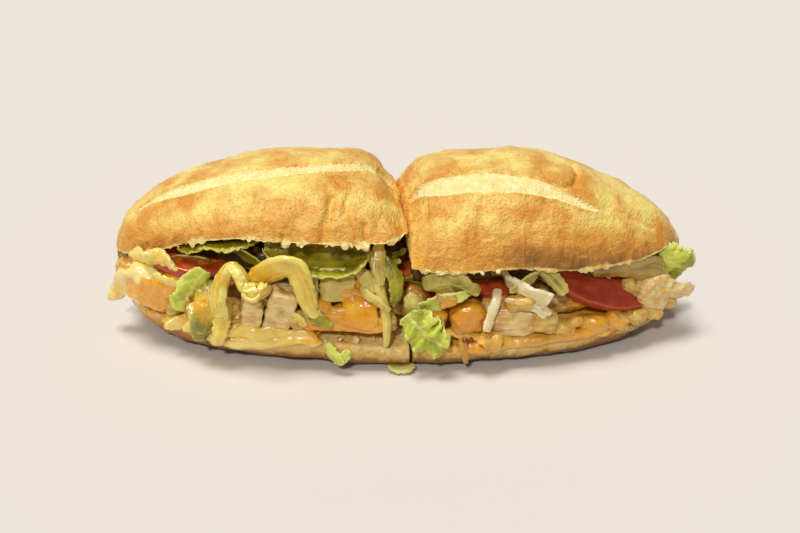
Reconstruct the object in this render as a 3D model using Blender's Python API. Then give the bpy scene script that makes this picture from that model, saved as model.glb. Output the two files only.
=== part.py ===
"""Long roll with chicken, cheese, lettuce and tomato, cut through the middle.

The two halves lie end to end along X, open side towards -Y, underside on Z = 0.
Lengths are in millimetres and are turned into metres when a mesh is made.
"""
import math
import random

import bmesh
import bpy
from mathutils import Euler, Vector

MM = 0.001

# Driving dimensions of the roll
LEFT_LENGTH = 128.5     # from the cut to the tip
RIGHT_LENGTH = 126.5
HALF_DEPTH = 42.0       # front or back from the middle line, at the cut
BEND = 5.0              # how far the tips sit behind the middle
SPLIT_HEIGHT = 38.0     # where top and bottom of the roll meet at the back
TIP_RISE = 24.0         # height of the underside at a tip
FLAT_SPOT = 0.8         # the underside is pressed flat up to this height
Y_SHIFT = 2.6           # centres the whole depth on the origin

# The cut between the halves
CUT_X = 0.6
CUT_SLANT = -0.109      # change of x for each millimetre of y
CUT_GAP = 0.9           # from the cut's plane to the bread of one half
CUT_FLARE = 2.2         # more gap at the top, where the crust is pinched

# Where the knife went in, measured across one half
HINGE_DEPTH = 0.66      # of the local half depth, behind the middle line
HINGE_OPEN = 9.0        # height of the filling at the hinge

CLEARANCE = 0.35        # between neighbouring solids
MERGE_DISTANCES = (0.00002, 0.000005, 0.000001, 0.0)    # in metres, the first that works is used

SLASH_DEPTH = 1.3       # of the baker's slash along the top
SLASH_WIDTH = 4.0
SLASH_FADE = 15.0       # length over which the slash runs out

MEAT_SQUARENESS = 3.2   # exponent of the rounded blocks, 2 would be round
SLICE_RIM = 1.3         # how much smaller the flat faces of a tomato slice are

# Height of the top of the crust, the upper lip and the lower cut edge,
# and how far the slash lies from the middle line, each along the half
LEFT = {
    "side": -1,
    "length": LEFT_LENGTH,
    "crown": [(0, 67), (4, 71), (10, 78), (22, 82), (44, 83.5), (66, 81), (89, 75.5),
              (105, 68), (116, 60), (121, 56), (125, 49.5), (128.5, 41)],
    "lip": [(0, 62), (46, 62), (67, 62), (85, 58.5), (96, 54.5), (108, 48.5),
            (116, 44.5), (124, 41), (128.5, 39.5)],
    "edge": [(0, 12), (22, 13), (44, 15), (61, 12.5), (79, 12), (88, 14.5),
             (112, 15.5), (121, 17), (125, 26), (128.5, 37)],
    "slash": [(0, 6), (8, 2.5), (26, -5), (47, -10.5), (69, -12), (90, -14), (110, -11), (128.5, -10)],
    "slash_end": 122,
    "dents": [(34, -33, 4.5, 3.0), (44, -30, 3.5, 1.8), (21, -34, 3.5, 1.6)],
}
RIGHT = {
    "side": 1,
    "length": RIGHT_LENGTH,
    "crown": [(0, 66), (4, 72), (9, 77), (22, 81), (44, 83.5), (57, 83), (69, 80),
              (89, 72.5), (107, 63), (118, 54), (123, 47.5), (126.5, 42)],
    "lip": [(0, 51.5), (17, 50), (42, 51), (55, 50.5), (68, 48), (86, 46.5),
            (104, 45.5), (113, 46), (119, 46), (123, 43), (126.5, 38.8)],
    "edge": [(0, 12), (9, 14), (26, 12), (44, 11.5), (61, 13), (79, 13.5),
             (97, 15), (112, 17.5), (119, 22), (123, 30), (126.5, 37.4)],
    "slash": [(0, -6), (4, -9), (10, -13.5), (33, -16.5), (55, -20.5), (68, -23.5), (80, -26.5),
              (126.5, -30)],
    "slash_end": 86,
    "dents": [(81, 8, 3.0, 1.6), (29, -22, 4.0, 1.4)],
}
# Cross-sections from the cut to just before the tip, as shares of a half's length
STATIONS = (0, 0.03, 0.08, 0.14, 0.22, 0.265, 0.31, 0.39, 0.48, 0.575, 0.67, 0.755, 0.833, 0.895,
            0.942, 0.973, 0.994)


def smooth(points, t):
    """Height at t on a smooth curve through a few (t, height) points."""
    if t <= points[0][0]:
        return points[0][1]
    if t >= points[-1][0]:
        return points[-1][1]
    k = 0
    while points[k + 1][0] < t:
        k += 1
    (t1, h1), (t2, h2) = points[k], points[k + 1]
    t0, h0 = points[max(k - 1, 0)]
    t3, h3 = points[min(k + 2, len(points) - 1)]
    span = t2 - t1
    u = (t - t1) / span
    m1 = (h2 - h0) / (t2 - t0) * span
    m2 = (h3 - h1) / (t3 - t1) * span
    rise = h1 * (2 * u**3 - 3 * u**2 + 1) + h2 * (3 * u**2 - 2 * u**3)
    return rise + m1 * (u**3 - 2 * u**2 + u) + m2 * (u**3 - u**2)


class Section:
    """The roll's cross-section at a distance s from the cut, in one half."""

    def __init__(self, half, s):
        self.half = half
        self.s = s
        self.x = half["side"] * s
        reach = min(s / half["length"], 0.9999)
        self.depth = HALF_DEPTH * (1 - reach**2.6) ** (1 / 1.8)
        self.mid = BEND * reach**2
        self.crown = smooth(half["crown"], s)
        self.base = TIP_RISE * max(0.0, (reach - 0.55) / 0.45) ** 4.5
        self.power = 7.0 - 3.0 * reach
        self.lip_z = smooth(half["lip"], s)
        self.edge_z = smooth(half["edge"], s)
        near_tip = min(1.0, (half["length"] - s) / 20.0)
        self.open = max(0.8, HINGE_OPEN * near_tip)
        self.hinge = (self.mid + HINGE_DEPTH * self.depth, SPLIT_HEIGHT - 2)

    def top_y(self, z):
        """Front of the top crust at height z, below the crown."""
        share = min(1.0, max(0.0, (z - SPLIT_HEIGHT) / max(0.5, self.crown - SPLIT_HEIGHT)))
        return self.mid - self.depth * (1 - share**2.5) ** 0.4

    def bottom_y(self, z):
        """Front of the bottom crust at height z, above the underside."""
        share = min(1.0, max(0.0, (SPLIT_HEIGHT - z) / (SPLIT_HEIGHT - self.base)))
        return self.mid - self.depth * (1 - share**self.power) ** (1 / self.power)

    def lip(self):
        return (self.top_y(self.lip_z), self.lip_z)

    def edge(self):
        return (self.bottom_y(self.edge_z), self.edge_z)

    def filling(self, across, up):
        """Point in the filling: across 0 at the hinge, 1 at the front; up 0 to 1."""
        y0, z0 = self.hinge
        edge_y, edge_z = self.edge()
        lip_y, lip_z = self.lip()
        low = (y0 + (edge_y - y0) * across, z0 - self.open / 2 + (edge_z - z0 + self.open / 2) * across)
        high = (y0 + (lip_y - y0) * across, z0 + self.open / 2 + (lip_z - z0 - self.open / 2) * across)
        return (low[0] + (high[0] - low[0]) * up, low[1] + (high[1] - low[1]) * up)

    def place(self, y, z):
        """World point, sheared towards the slanted cut near the middle."""
        near = max(0.0, 1 - self.s / 45.0)
        slant = (CUT_X + CUT_SLANT * y) * near
        flare = CUT_FLARE * min(1.0, max(0.0, (z - 45) / 30.0))
        gap = (CUT_GAP + flare) * max(0.0, 1 - self.s / 12.0)
        return Vector((self.x + slant + self.half["side"] * gap, y, z))


def bread_ring(half, s):
    """Closed C-shaped outline, hinged at the back."""
    sec = Section(half, s)
    slash_y = smooth(half["slash"], s) * sec.depth / HALF_DEPTH
    fade = min(1.0, max(0.0, (half["slash_end"] - s) / SLASH_FADE))
    points = []
    rise = (sec.lip_z - SPLIT_HEIGHT) / max(0.5, sec.crown - SPLIT_HEIGHT)
    start = math.asin(min(0.95, rise**1.25))
    steps = 17
    for i in range(steps + 1):
        angle = start + (math.pi - start) * i / steps
        y = sec.mid - sec.depth * math.copysign(abs(math.cos(angle)) ** 0.8, math.cos(angle))
        z = SPLIT_HEIGHT + (sec.crown - SPLIT_HEIGHT) * abs(math.sin(angle)) ** 0.8
        groove = SLASH_DEPTH * fade * math.exp(-((y - sec.mid - slash_y) / SLASH_WIDTH) ** 2)
        pull = groove * min(1.0, sec.depth / 30.0)
        for at, dent_y, wide, deep in half["dents"]:
            pull += deep * math.exp(-((s - at) / wide) ** 2 - ((y - dent_y) / 12.0) ** 2)
        centre = Vector((sec.mid, SPLIT_HEIGHT))
        inward = (centre - Vector((y, z)))
        if inward.length > 1:
            inward.normalize()
        points.append((y + inward.x * pull, z + inward.y * pull))
    steps = 9
    edge_y, edge_z = sec.edge()
    height = SPLIT_HEIGHT - sec.base
    fall = min(0.97, max(0.02, (SPLIT_HEIGHT - edge_z) / height))
    stop = math.asin(fall ** (sec.power / 2))
    for i in range(1, steps + 1):
        angle = (math.pi - stop) * i / steps
        y = sec.mid + sec.depth * math.copysign(abs(math.cos(angle)) ** (2 / sec.power), math.cos(angle))
        drop = height * abs(math.sin(angle)) ** (2 / sec.power)
        z = SPLIT_HEIGHT - min(height, drop * height / (height - FLAT_SPOT))
        points.append((y, z))
    points[-1] = (edge_y, edge_z)
    for across in (0.93, 0.7, 0.4, 0.1):
        points.append(sec.filling(across, 0.0))
    points.append((sec.hinge[0] + sec.open * 0.25, sec.hinge[1]))
    for across in (0.1, 0.4, 0.7, 0.93):
        points.append(sec.filling(across, 1.0))
    return [sec.place(y, z) for y, z in points]


def make_material(name, colour, roughness):
    material = bpy.data.materials.new(name)
    material.use_nodes = True
    shader = material.node_tree.nodes["Principled BSDF"]
    linear = [((c / 255 + 0.055) / 1.055) ** 2.4 for c in colour]
    shader.inputs["Base Color"].default_value = (*linear, 1)
    shader.inputs["Roughness"].default_value = roughness
    shader.inputs["Metallic"].default_value = 0.0
    return material


def make_object(name, points, faces, colour, roughness=0.5):
    """A closed, triangulated mesh object in metres, facing outwards."""
    mesh = bpy.data.meshes.new(name)
    mesh.from_pydata([Vector(p) + Vector((0, Y_SHIFT, 0)) for p in points], [], faces)
    bm = bmesh.new()
    bm.from_mesh(mesh)
    bmesh.ops.scale(bm, vec=(MM, MM, MM), verts=bm.verts)
    bmesh.ops.triangulate(bm, faces=[f for f in bm.faces if len(f.verts) > 3])
    bmesh.ops.recalc_face_normals(bm, faces=bm.faces)
    bm.to_mesh(mesh)
    bm.free()
    mesh.materials.append(make_material(name, colour, roughness))
    mesh.shade_smooth()
    mesh.set_sharp_from_angle(angle=math.radians(50))
    obj = bpy.data.objects.new(name, mesh)
    bpy.context.collection.objects.link(obj)
    return obj


def loft(rings):
    """Points and faces of a closed solid through rings of equal length."""
    size = len(rings[0])
    points = [p for ring in rings for p in ring]
    faces = []
    for r in range(len(rings) - 1):
        for i in range(size):
            a = r * size + i
            b = r * size + (i + 1) % size
            faces.append((a, b, b + size, a + size))
    faces.append(tuple(reversed(range(size))))
    faces.append(tuple(range((len(rings) - 1) * size, len(rings) * size)))
    return points, faces


def along(values, t):
    """Value at t from 0 to 1 on a smooth curve through equally spaced points."""
    if not isinstance(values, (list, tuple)) or isinstance(values, Vector):
        return values
    count = len(values) - 1
    if isinstance(values[0], (int, float)):
        return smooth([(i / count, v) for i, v in enumerate(values)], t)
    return Vector([smooth([(i / count, v[axis]) for i, v in enumerate(values)], t) for axis in range(3)])


def sheet(path, width, side, thick, cup=0.0, wave=0.0, waves=2.0, across=3, steps=8, phase=0.0):
    """Thin solid strip or leaf along a path, with both faces split alike.

    side holds directions of the width, cup lifts the middle, wave ripples the rims.
    """
    sides = side if isinstance(side, list) else [side, side]
    centres = []
    for i in range(steps + 1):
        t = i / steps
        centre = along(path, t)
        ahead = along(path, min(1.0, t + 0.02)) - along(path, max(0.0, t - 0.02))
        out = along(sides, t).normalized()
        normal = ahead.cross(out).normalized()
        out = normal.cross(ahead).normalized()
        row = []
        for j in range(across + 1):
            v = 2 * j / across - 1
            ripple = wave * v * math.sin(2 * math.pi * (waves * t + phase) + 1.3 * v)
            row.append(centre + out * (along(width, t) * v / 2) + normal * (cup * (1 - v * v) + ripple))
        centres.append(row)
    upper, lower = [], []
    for i in range(steps + 1):
        for j in range(across + 1):
            du = centres[min(i + 1, steps)][j] - centres[max(i - 1, 0)][j]
            dv = centres[i][min(j + 1, across)] - centres[i][max(j - 1, 0)]
            normal = du.cross(dv).normalized()
            rim = 0.6 if j in (0, across) or i in (0, steps) else 1.0
            upper.append(centres[i][j] + normal * thick * rim / 2)
            lower.append(centres[i][j] - normal * thick * rim / 2)
    wide = across + 1
    low = len(upper)
    faces = []
    for i in range(steps):
        for j in range(across):
            a = i * wide + j
            b, c, d = a + 1, a + wide + 1, a + wide
            faces += [(a, b, c), (a, c, d), (low + a, low + c, low + b), (low + a, low + d, low + c)]
    border = list(range(across))
    border += [i * wide + across for i in range(steps)]
    border += [steps * wide + j for j in range(across, 0, -1)]
    border += [i * wide for i in range(steps, 0, -1)]
    for k, a in enumerate(border):
        b = border[(k + 1) % len(border)]
        faces += [(a, low + a, low + b), (a, low + b, b)]
    return upper + lower, faces


def chunk(centre, size, turn, seed, lumps=0.09, cuts=2):
    """Rounded uneven block of torn meat; size is its full length, depth and height."""
    draw = random.Random(seed)
    bm = bmesh.new()
    bmesh.ops.create_cube(bm, size=2.0)
    bmesh.ops.subdivide_edges(bm, edges=bm.edges, cuts=cuts, use_grid_fill=True)
    spin = Euler([math.radians(a) for a in turn]).to_matrix()
    for vert in bm.verts:
        p = vert.co
        total = sum(abs(value) ** MEAT_SQUARENESS for value in p)
        p = p * (1 + draw.uniform(-lumps, lumps)) / total ** (1 / MEAT_SQUARENESS)
        vert.co = spin @ Vector((p.x * size[0] / 2, p.y * size[1] / 2, p.z * size[2] / 2)) + Vector(centre)
    bmesh.ops.triangulate(bm, faces=bm.faces)
    points = [v.co.copy() for v in bm.verts]
    bm.verts.index_update()
    faces = [tuple(v.index for v in f.verts) for f in bm.faces]
    bm.free()
    return points, faces


def disc(centre, radius, thick, normal, steps=15, squash=1.0, bumps=0.04, seed=1):
    """Round slice with rounded rims; squash shortens it across its second axis."""
    draw = random.Random(seed)
    up = Vector(normal).normalized()
    first = Vector((1, 0, 0)) - up * up.x
    first.normalize()
    second = up.cross(first)
    rings = []
    reach = [radius * (1 + draw.uniform(-bumps, bumps)) for _ in range(steps)]
    for height, shrink in ((-0.5, SLICE_RIM), (-0.25, 0.0), (0.25, 0.0), (0.5, SLICE_RIM)):
        ring = []
        for i in range(steps):
            angle = 2 * math.pi * i / steps
            r = reach[i] - shrink
            flat = first * math.cos(angle) * r + second * math.sin(angle) * r * squash
            ring.append(Vector(centre) + flat + up * thick * height)
        rings.append(ring)
    points, faces = loft(rings)
    return points, faces


def filling_core(half, low, high, front, first, last, seed):
    """Body of one filling layer, running through the half from first to last."""
    draw = random.Random(seed)
    rings = []
    count = 7
    for k in range(count + 1):
        s = first + (last - first) * k / count
        sec = Section(half, s)
        ring = []
        for across, up in ((0.05, low), (0.5, low), (front - 0.12, low), (front, low + 0.12),
                           (front + 0.03, (low + high) / 2), (front, high - 0.1),
                           (front - 0.15, high), (0.5, high), (0.05, high)):
            bump = 1 + draw.uniform(-0.05, 0.03)
            y, z = sec.filling(across * bump, up + draw.uniform(-0.015, 0.015))
            ring.append(sec.place(y, z))
        rings.append(ring)
    return loft(rings)


def melted_sheet(half, first, last, reach, drop, thick, seed):
    """Cheese lying on the lower slice and over its cut edge."""
    draw = random.Random(seed)
    rings = []
    count = 12
    for k in range(count + 1):
        s = first + (last - first) * k / count
        sec = Section(half, s)
        edge_y, edge_z = sec.edge()
        hang = smooth(drop, s) + draw.uniform(-0.7, 0.7)
        path = []
        for across in (reach, reach + (1 - reach) * 0.4, 0.9):
            y, z = sec.filling(across, 0.0)
            path.append((y, z + CLEARANCE + 0.15, 0.15, 1.0))
        path.append((edge_y - CLEARANCE - 0.1, edge_z + CLEARANCE + 0.5, -0.7, 0.7))
        for share in (0.5, 1.0):
            z = edge_z - hang * share
            path.append((sec.bottom_y(z) - CLEARANCE - 0.3, z, -1.0, 0.1))
        inner = [sec.place(y, z) for y, z, _, _ in path]
        outer = [sec.place(y + ny * thick, z + nz * thick) for y, z, ny, nz in path]
        rings.append(inner + outer[::-1])
    return loft(rings)


def join_all(name, parts, colour, roughness):
    """One solid out of overlapping closed shapes."""
    base = make_object(name, *parts[0], colour, roughness)
    extra = bpy.data.collections.new(name + "_extra")
    bpy.context.scene.collection.children.link(extra)
    for i, (points, faces) in enumerate(parts[1:]):
        piece = make_object(f"{name}_extra_{i}", points, faces, colour, roughness)
        bpy.context.collection.objects.unlink(piece)
        extra.objects.link(piece)
    if extra.objects:
        apply_boolean(base, extra, "UNION")
    remove_collection(extra)
    return base


def apply_boolean(obj, collection, operation):
    """Boolean with a whole collection, made permanent."""
    modifier = obj.modifiers.new("shape", "BOOLEAN")
    modifier.operation = operation
    modifier.operand_type = "COLLECTION"
    modifier.collection = collection
    modifier.solver = "EXACT"
    bpy.context.view_layer.update()
    graph = bpy.context.evaluated_depsgraph_get()
    mesh = bpy.data.meshes.new_from_object(obj.evaluated_get(graph))
    obj.modifiers.clear()
    obj.data = mesh
    obj.data.name = obj.name
    while len(obj.data.materials) > 1:
        obj.data.materials.pop()


def remove_collection(collection):
    for obj in list(collection.objects):
        mesh = obj.data
        bpy.data.objects.remove(obj)
        bpy.data.meshes.remove(mesh)
    bpy.data.collections.remove(collection)


def bounds(obj):
    points = [v.co for v in obj.data.vertices]
    low = [min(p[i] for p in points) for i in range(3)]
    high = [max(p[i] for p in points) for i in range(3)]
    return low, high


def near(a, b):
    (low_a, high_a), (low_b, high_b) = bounds(a), bounds(b)
    room = 2 * CLEARANCE * MM
    return all(low_a[i] < high_b[i] + room and low_b[i] < high_a[i] + room for i in range(3))


def grown_copy(obj, collection):
    """Copy of a solid, thicker by the clearance on every side, for cutting."""
    bm = bmesh.new()
    bm.from_mesh(obj.data)
    bm.normal_update()
    moves = [v.normal * CLEARANCE * MM for v in bm.verts]
    for vert, move in zip(bm.verts, moves):
        vert.co += move
    mesh = bpy.data.meshes.new(obj.name + "_grown")
    bm.to_mesh(mesh)
    bm.free()
    copy = bpy.data.objects.new(mesh.name, mesh)
    copy.display_type = "WIRE"
    copy.hide_render = True
    collection.objects.link(copy)


def make_room(obj, neighbours):
    """Cut the neighbours, with their clearance, out of a solid."""
    cutters = bpy.data.collections.new(obj.name + "_cutters")
    bpy.context.scene.collection.children.link(cutters)
    for other in neighbours:
        if near(obj, other):
            grown_copy(other, cutters)
    if cutters.objects:
        apply_boolean(obj, cutters, "DIFFERENCE")
        keep_largest(obj)
    remove_collection(cutters)


def keep_largest(obj):
    """Drop the scraps that cutting leaves beside a solid, and merge its tiniest edges.

    A merge that would leave an open or shared edge is done again over a smaller distance.
    """
    for distance in MERGE_DISTANCES:
        bm = bmesh.new()
        bm.from_mesh(obj.data)
        bmesh.ops.remove_doubles(bm, verts=bm.verts, dist=distance)
        bmesh.ops.dissolve_degenerate(bm, edges=bm.edges, dist=distance)
        bmesh.ops.triangulate(bm, faces=bm.faces)
        groups = connected_faces(bm)
        best = max(groups, key=volume)
        loose = [f for group in groups if group is not best for f in group]
        bmesh.ops.delete(bm, geom=loose, context="FACES")
        bmesh.ops.delete(bm, geom=[v for v in bm.verts if not v.link_faces], context="VERTS")
        if distance == MERGE_DISTANCES[-1] or all(edge.is_manifold for edge in bm.edges):
            break
        bm.free()
    bm.to_mesh(obj.data)
    bm.free()
    obj.data.shade_smooth()
    obj.data.set_sharp_from_angle(angle=math.radians(50))


def connected_faces(bm):
    """Faces sorted into groups that hang together by their edges."""
    groups = []
    seen = set()
    for start in bm.faces:
        if start in seen:
            continue
        group = []
        stack = [start]
        seen.add(start)
        while stack:
            face = stack.pop()
            group.append(face)
            for edge in face.edges:
                for other in edge.link_faces:
                    if other not in seen:
                        seen.add(other)
                        stack.append(other)
        groups.append(group)
    return groups


def volume(faces):
    total = 0.0
    for face in faces:
        a, b, c = (v.co for v in face.verts)
        total += a.dot(b.cross(c)) / 6
    return total


def bread_halves():
    crust = (240, 196, 104)
    made = []
    for name, half in (("bread_left", LEFT), ("bread_right", RIGHT)):
        points, faces = loft([bread_ring(half, share * half["length"]) for share in STATIONS])
        made.append(make_object(name, points, faces, crust, 0.55))
    return made


def tomatoes():
    red = (150, 48, 14)
    return [
        make_object("tomato_left", *disc((-90, -7, 45), 23, 5, (0.08, -0.12, 1)), red, 0.3),
        make_object("tomato_middle", *disc((14, -8, 38), 22, 5, (0.2, -0.5, 1), seed=2), red, 0.3),
        make_object("tomato_inner", *disc((41, -10, 41), 23, 5.5, (0.1, -0.45, 1), seed=3), red, 0.3),
        make_object("tomato_outer", *disc((90, -16, 31.5), 28, 5.5, (0.6, -0.75, 1), squash=0.46, seed=4),
                    red, 0.3),
    ]


def leaves():
    """Lettuce leaves and wide strips that show on their own."""
    green = (176, 186, 78)
    pale = (222, 214, 120)
    inward = Vector((0, 0.96, -0.28))
    data = [
        ("leaf_lip_left", green, dict(
            path=[(-58, -29, 56.5), (-46, -31, 54), (-34, -32, 52), (-21, -32, 53), (-13, -31, 56)],
            width=[8, 17, 21, 18, 7], side=Vector((0, 0.93, 0.36)), thick=1.3, cup=-3, wave=0.8,
            across=4, steps=8)),
        ("leaf_tip_left", green, dict(
            path=[(-96, -18, 50), (-84, -22, 52.5), (-72, -25, 55), (-61, -27, 56.5)],
            width=[8, 15, 17, 8], side=inward, thick=1.2, cup=1.2, wave=0.8, across=4, steps=8)),
        ("leaf_green_left", green, dict(
            path=[(-84, -29, 46), (-90, -30.5, 38), (-94, -29, 30), (-95, -29.5, 25)],
            width=[7, 12, 12, 8], side=Vector((1, 0.2, 0)), thick=1.2, cup=1.6, wave=1.0,
            across=3, steps=6)),
        ("strip_left", green, dict(
            path=[(-83, -29, 40), (-84, -35, 34), (-85, -37.5, 26), (-87, -36.5, 19), (-87.5, -35.5, 13)],
            width=[7, 9, 9.5, 9, 5], side=Vector((1, 0, 0)), thick=1.2, cup=1.2, across=3, steps=8)),
        ("strip_yellow_left", pale, dict(
            path=[(-75, -33, 34), (-76.5, -38, 27), (-78, -39.5, 20), (-80, -38, 12.5)],
            width=[5, 7, 7, 5], side=Vector((1, 0, 0)), thick=1.1, cup=0.8, across=2, steps=6)),
        ("curl_left", pale, dict(
            path=[(-77, -40, 27), (-78, -40.5, 37), (-76, -38.5, 46), (-71.5, -37.5, 51.5),
                  (-67, -40, 50), (-65, -41.5, 45), (-60.5, -42, 42.5), (-56, -41, 45)],
            width=[8, 7.5, 7, 7.5, 8, 8, 8.5, 7],
            side=[Vector((0.9, -0.3, 0)), Vector((0.8, -0.5, 0)), Vector((0.6, -0.7, 0.2)),
                  Vector((0, -0.9, 0.4)), Vector((-0.2, -0.9, 0.5)), Vector((-0.1, -0.8, 0.6)),
                  Vector((0, -0.6, 0.8)), Vector((0, -0.6, 0.8))],
            thick=3.6, cup=0.9, across=2, steps=14)),
        ("arch_left", pale, dict(
            path=[(-62, -33, 40), (-57, -36, 47.5), (-50, -38, 52), (-44, -39, 51.5),
                  (-41, -40.5, 45), (-39, -41, 37), (-36, -41.5, 29)],
            width=[10, 13, 14, 13, 10, 8, 4],
            side=[Vector((0, 0.5, -0.8)), Vector((0, 0.4, -0.9)), Vector((0, 0.4, -0.9)),
                  Vector((-0.5, 0.4, -0.7)), Vector((-0.9, 0.2, -0.3)), Vector((-1, 0.1, 0)),
                  Vector((-1, 0, 0))],
            thick=2.4, cup=-1.2, across=3, steps=10)),
        ("rib_left", (226, 216, 160), dict(
            path=[(-37, -33, 49), (-37.5, -35.5, 42), (-37, -37, 34)], width=[5, 5, 4],
            side=Vector((1, 0, 0)), thick=2.2, cup=0.6, across=2, steps=4)),
        ("square_left", pale, dict(
            path=[(-27, -33.5, 49), (-27, -35.5, 42), (-27.5, -36.5, 34)], width=[15, 15, 13],
            side=Vector((1, 0.1, 0)), thick=2.0, cup=0.8, wave=0.5, across=3, steps=5)),
        ("blade_left", green, dict(
            path=[(-6, -32, 53), (-2.5, -36, 47), (-1.5, -38.5, 40), (-3, -40, 34)],
            width=[2, 6.5, 6, 1.5], side=Vector((1, 0.4, 0)), thick=1.1, cup=1, across=2, steps=6)),
        ("strand_left", (190, 160, 70), dict(
            path=[(-13, -29, 54), (-10, -33, 47), (-8, -37.5, 38), (-5.8, -41, 28), (-6, -42.5, 15)],
            width=[3, 4.5, 4.5, 4, 2.5], side=Vector((1, 0.2, 0)), thick=1.6, cup=0.5, across=2, steps=9)),
        ("drape_left", (206, 150, 60), dict(
            path=[(-20, -29, 44), (-19, -32, 39), (-18, -36.5, 33), (-17, -38.5, 29), (-18.5, -40.5, 23)],
            width=[8, 11, 13, 16, 20], side=[Vector((1, 0.3, 0.1)), Vector((1, -0.1, -0.1)),
                                             Vector((1, 0.1, 0))],
            thick=2.4, cup=1.6, wave=1.2, waves=1.5, across=4, steps=6)),
        ("sliver_left", green, dict(
            path=[(-31, -41.5, 16), (-29, -43.2, 11), (-25, -43.6, 8.5), (-22.5, -43.2, 13)],
            width=[3, 5, 5, 3], side=Vector((1, 0, 0.6)), thick=0.9, cup=0.5, across=2, steps=6)),
        ("leaf_crumpled_right", (196, 206, 92), dict(
            path=[(3.5, -41.5, 31), (8, -43.5, 26), (11, -43, 22), (15, -44, 19), (21, -44.6, 17)],
            width=[10, 15, 17, 15, 8], side=[Vector((0.5, 0.1, 1)), Vector((0.6, 0, 0.8))],
            thick=1.2, cup=2.2, wave=1.6, waves=2.5, across=4, steps=8)),
        ("leaf_round_right", (206, 208, 120), dict(
            path=[(10.5, -35, 41), (15, -35.5, 43), (22, -36, 44), (29, -37, 41.5), (34, -38, 39.5)],
            width=[7, 13, 14, 9, 3], side=Vector((0.1, 0.25, -1)), thick=1.3, cup=-2, wave=0.8,
            across=4, steps=8)),
        ("leaf_fold_right", (196, 206, 92), dict(
            path=[(8, -38, 31), (15, -39, 34), (22, -39.5, 37), (31, -39, 39)],
            width=[5, 7, 6, 2], side=Vector((0.2, 0.2, -1)), thick=1.1, cup=0.8, wave=0.6,
            across=2, steps=6)),
        ("onion_right", (200, 190, 120), dict(
            path=[(98, -16, 39), (106, -16.5, 37), (113, -14, 34), (118, -12, 32)],
            width=[5, 10, 10, 5], side=Vector((0.2, 0.3, -1)), thick=1.8, cup=-1.2, across=3, steps=6)),
        ("leaf_end_right", (176, 190, 90), dict(
            path=[(113, -8, 43), (119, -8.5, 39.5), (125, -6, 35), (128.5, -4, 32)],
            width=[8, 15, 17, 13], side=Vector((0.3, -0.25, 1)), thick=1.2, cup=2, wave=1.4, waves=2,
            across=3, steps=7)),
    ]
    return [make_object(name, *sheet(**values), colour, 0.35) for name, colour, values in data]


def chicken_pieces():
    """Chicken blocks that show whole at the open side."""
    meat = (214, 172, 104)
    flake = sheet(path=[(-112, -17, 32), (-119, -14.5, 30), (-125.5, -9.5, 23.5), (-132, -6, 15.5)],
                  width=[17, 17, 10, 1.2], side=Vector((0.2, -0.5, 1)), thick=5, cup=0.8,
                  across=2, steps=6)
    tongue = sheet(path=[(113, -15, 28), (121, -13, 27), (127, -9, 24.5), (132, -6.5, 22.5)],
                   width=[11, 9, 6, 3], side=Vector((0.1, -0.3, 1)), thick=4.5, cup=0.8,
                   across=2, steps=6)
    data = [
        ("chicken_tip_left", [chunk((-109, -15, 30.5), (25, 20, 21), (5, 20, -15), 11), flake]),
        ("chicken_second_left", [chunk((-95, -21, 34.5), (18, 14, 18), (-10, 15, 10), 12)]),
        ("chicken_small_left", [chunk((-64, -33, 29), (9, 12, 17), (12, 0, 4), 13, cuts=1)]),
        ("chicken_block_left", [chunk((-52, -33.5, 28), (12, 13, 25), (10, 16, 0), 14)]),
        ("chicken_crumb_right", [chunk((6, -29, 28), (11, 12, 14), (0, 10, 0), 15, cuts=1)]),
        ("chicken_second_right", [chunk((29, -36, 25.5), (15, 13, 15), (0, -15, 10), 16, cuts=1)]),
        ("chicken_flake_right", [chunk((50, -32, 23), (27, 12, 15), (5, 4, 0), 17)]),
        ("chicken_end_right", [chunk((112, -12, 26), (16, 15, 20), (0, 10, 10), 18), tongue]),
    ]
    return [join_all(name, parts, meat, 0.4) for name, parts in data]


def cheese_sheets():
    yellow = (232, 208, 128)
    left_drop = [(34, 0.8), (44, 0.6), (52, 2.0), (66, 3.6), (80, 3.4), (95, 1.0), (106, 0.4)]
    right_drop = [(27, 1.8), (38, 2.6), (48, 0.8), (62, 1.2), (76, 2.0), (92, 1.2), (106, 0.6)]
    return [
        make_object("cheese_left", *melted_sheet(LEFT, 34, 106, 0.45, left_drop, 1.5, 21), yellow, 0.3),
        make_object("cheese_right", *melted_sheet(RIGHT, 27, 108, 0.45, right_drop, 1.5, 22), yellow, 0.3),
    ]


def front_scrap():
    pale = (150, 136, 92)
    data = dict(path=[(-5.5, -39.6, 2.2), (-1, -40.2, 1.4), (3, -40.2, 1.6), (6.5, -39.4, 2.4)],
                width=[3, 7, 7, 3], side=Vector((0, 1, 0.12)), thick=1.0, cup=0.6, across=3, steps=6)
    return [make_object("leaf_scrap", *sheet(**data), pale, 0.35)]


def shreds(half, first, last, count, seed):
    """Lettuce shreds that stick out of the front of a layer."""
    draw = random.Random(seed)
    parts = []
    for k in range(count):
        s = first + (last - first) * (k + 0.5) / count
        sec = Section(half, s)
        y, z = sec.filling(0.74, 0.62 + 0.24 * (k % 3) / 2)
        start = sec.place(y, z)
        lean = draw.uniform(-6, 6)
        drop = draw.uniform(3, 9)
        path = [start, start + Vector((lean * 0.4, -5, 0.5)), start + Vector((lean, -9, -drop))]
        parts.append(sheet(path=path, width=[3.5, 4.5, 3], side=Vector((1, draw.uniform(-0.4, 0.4), 0.3)),
                           thick=1.4, cup=0.5, across=1, steps=3))
    return parts


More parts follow.
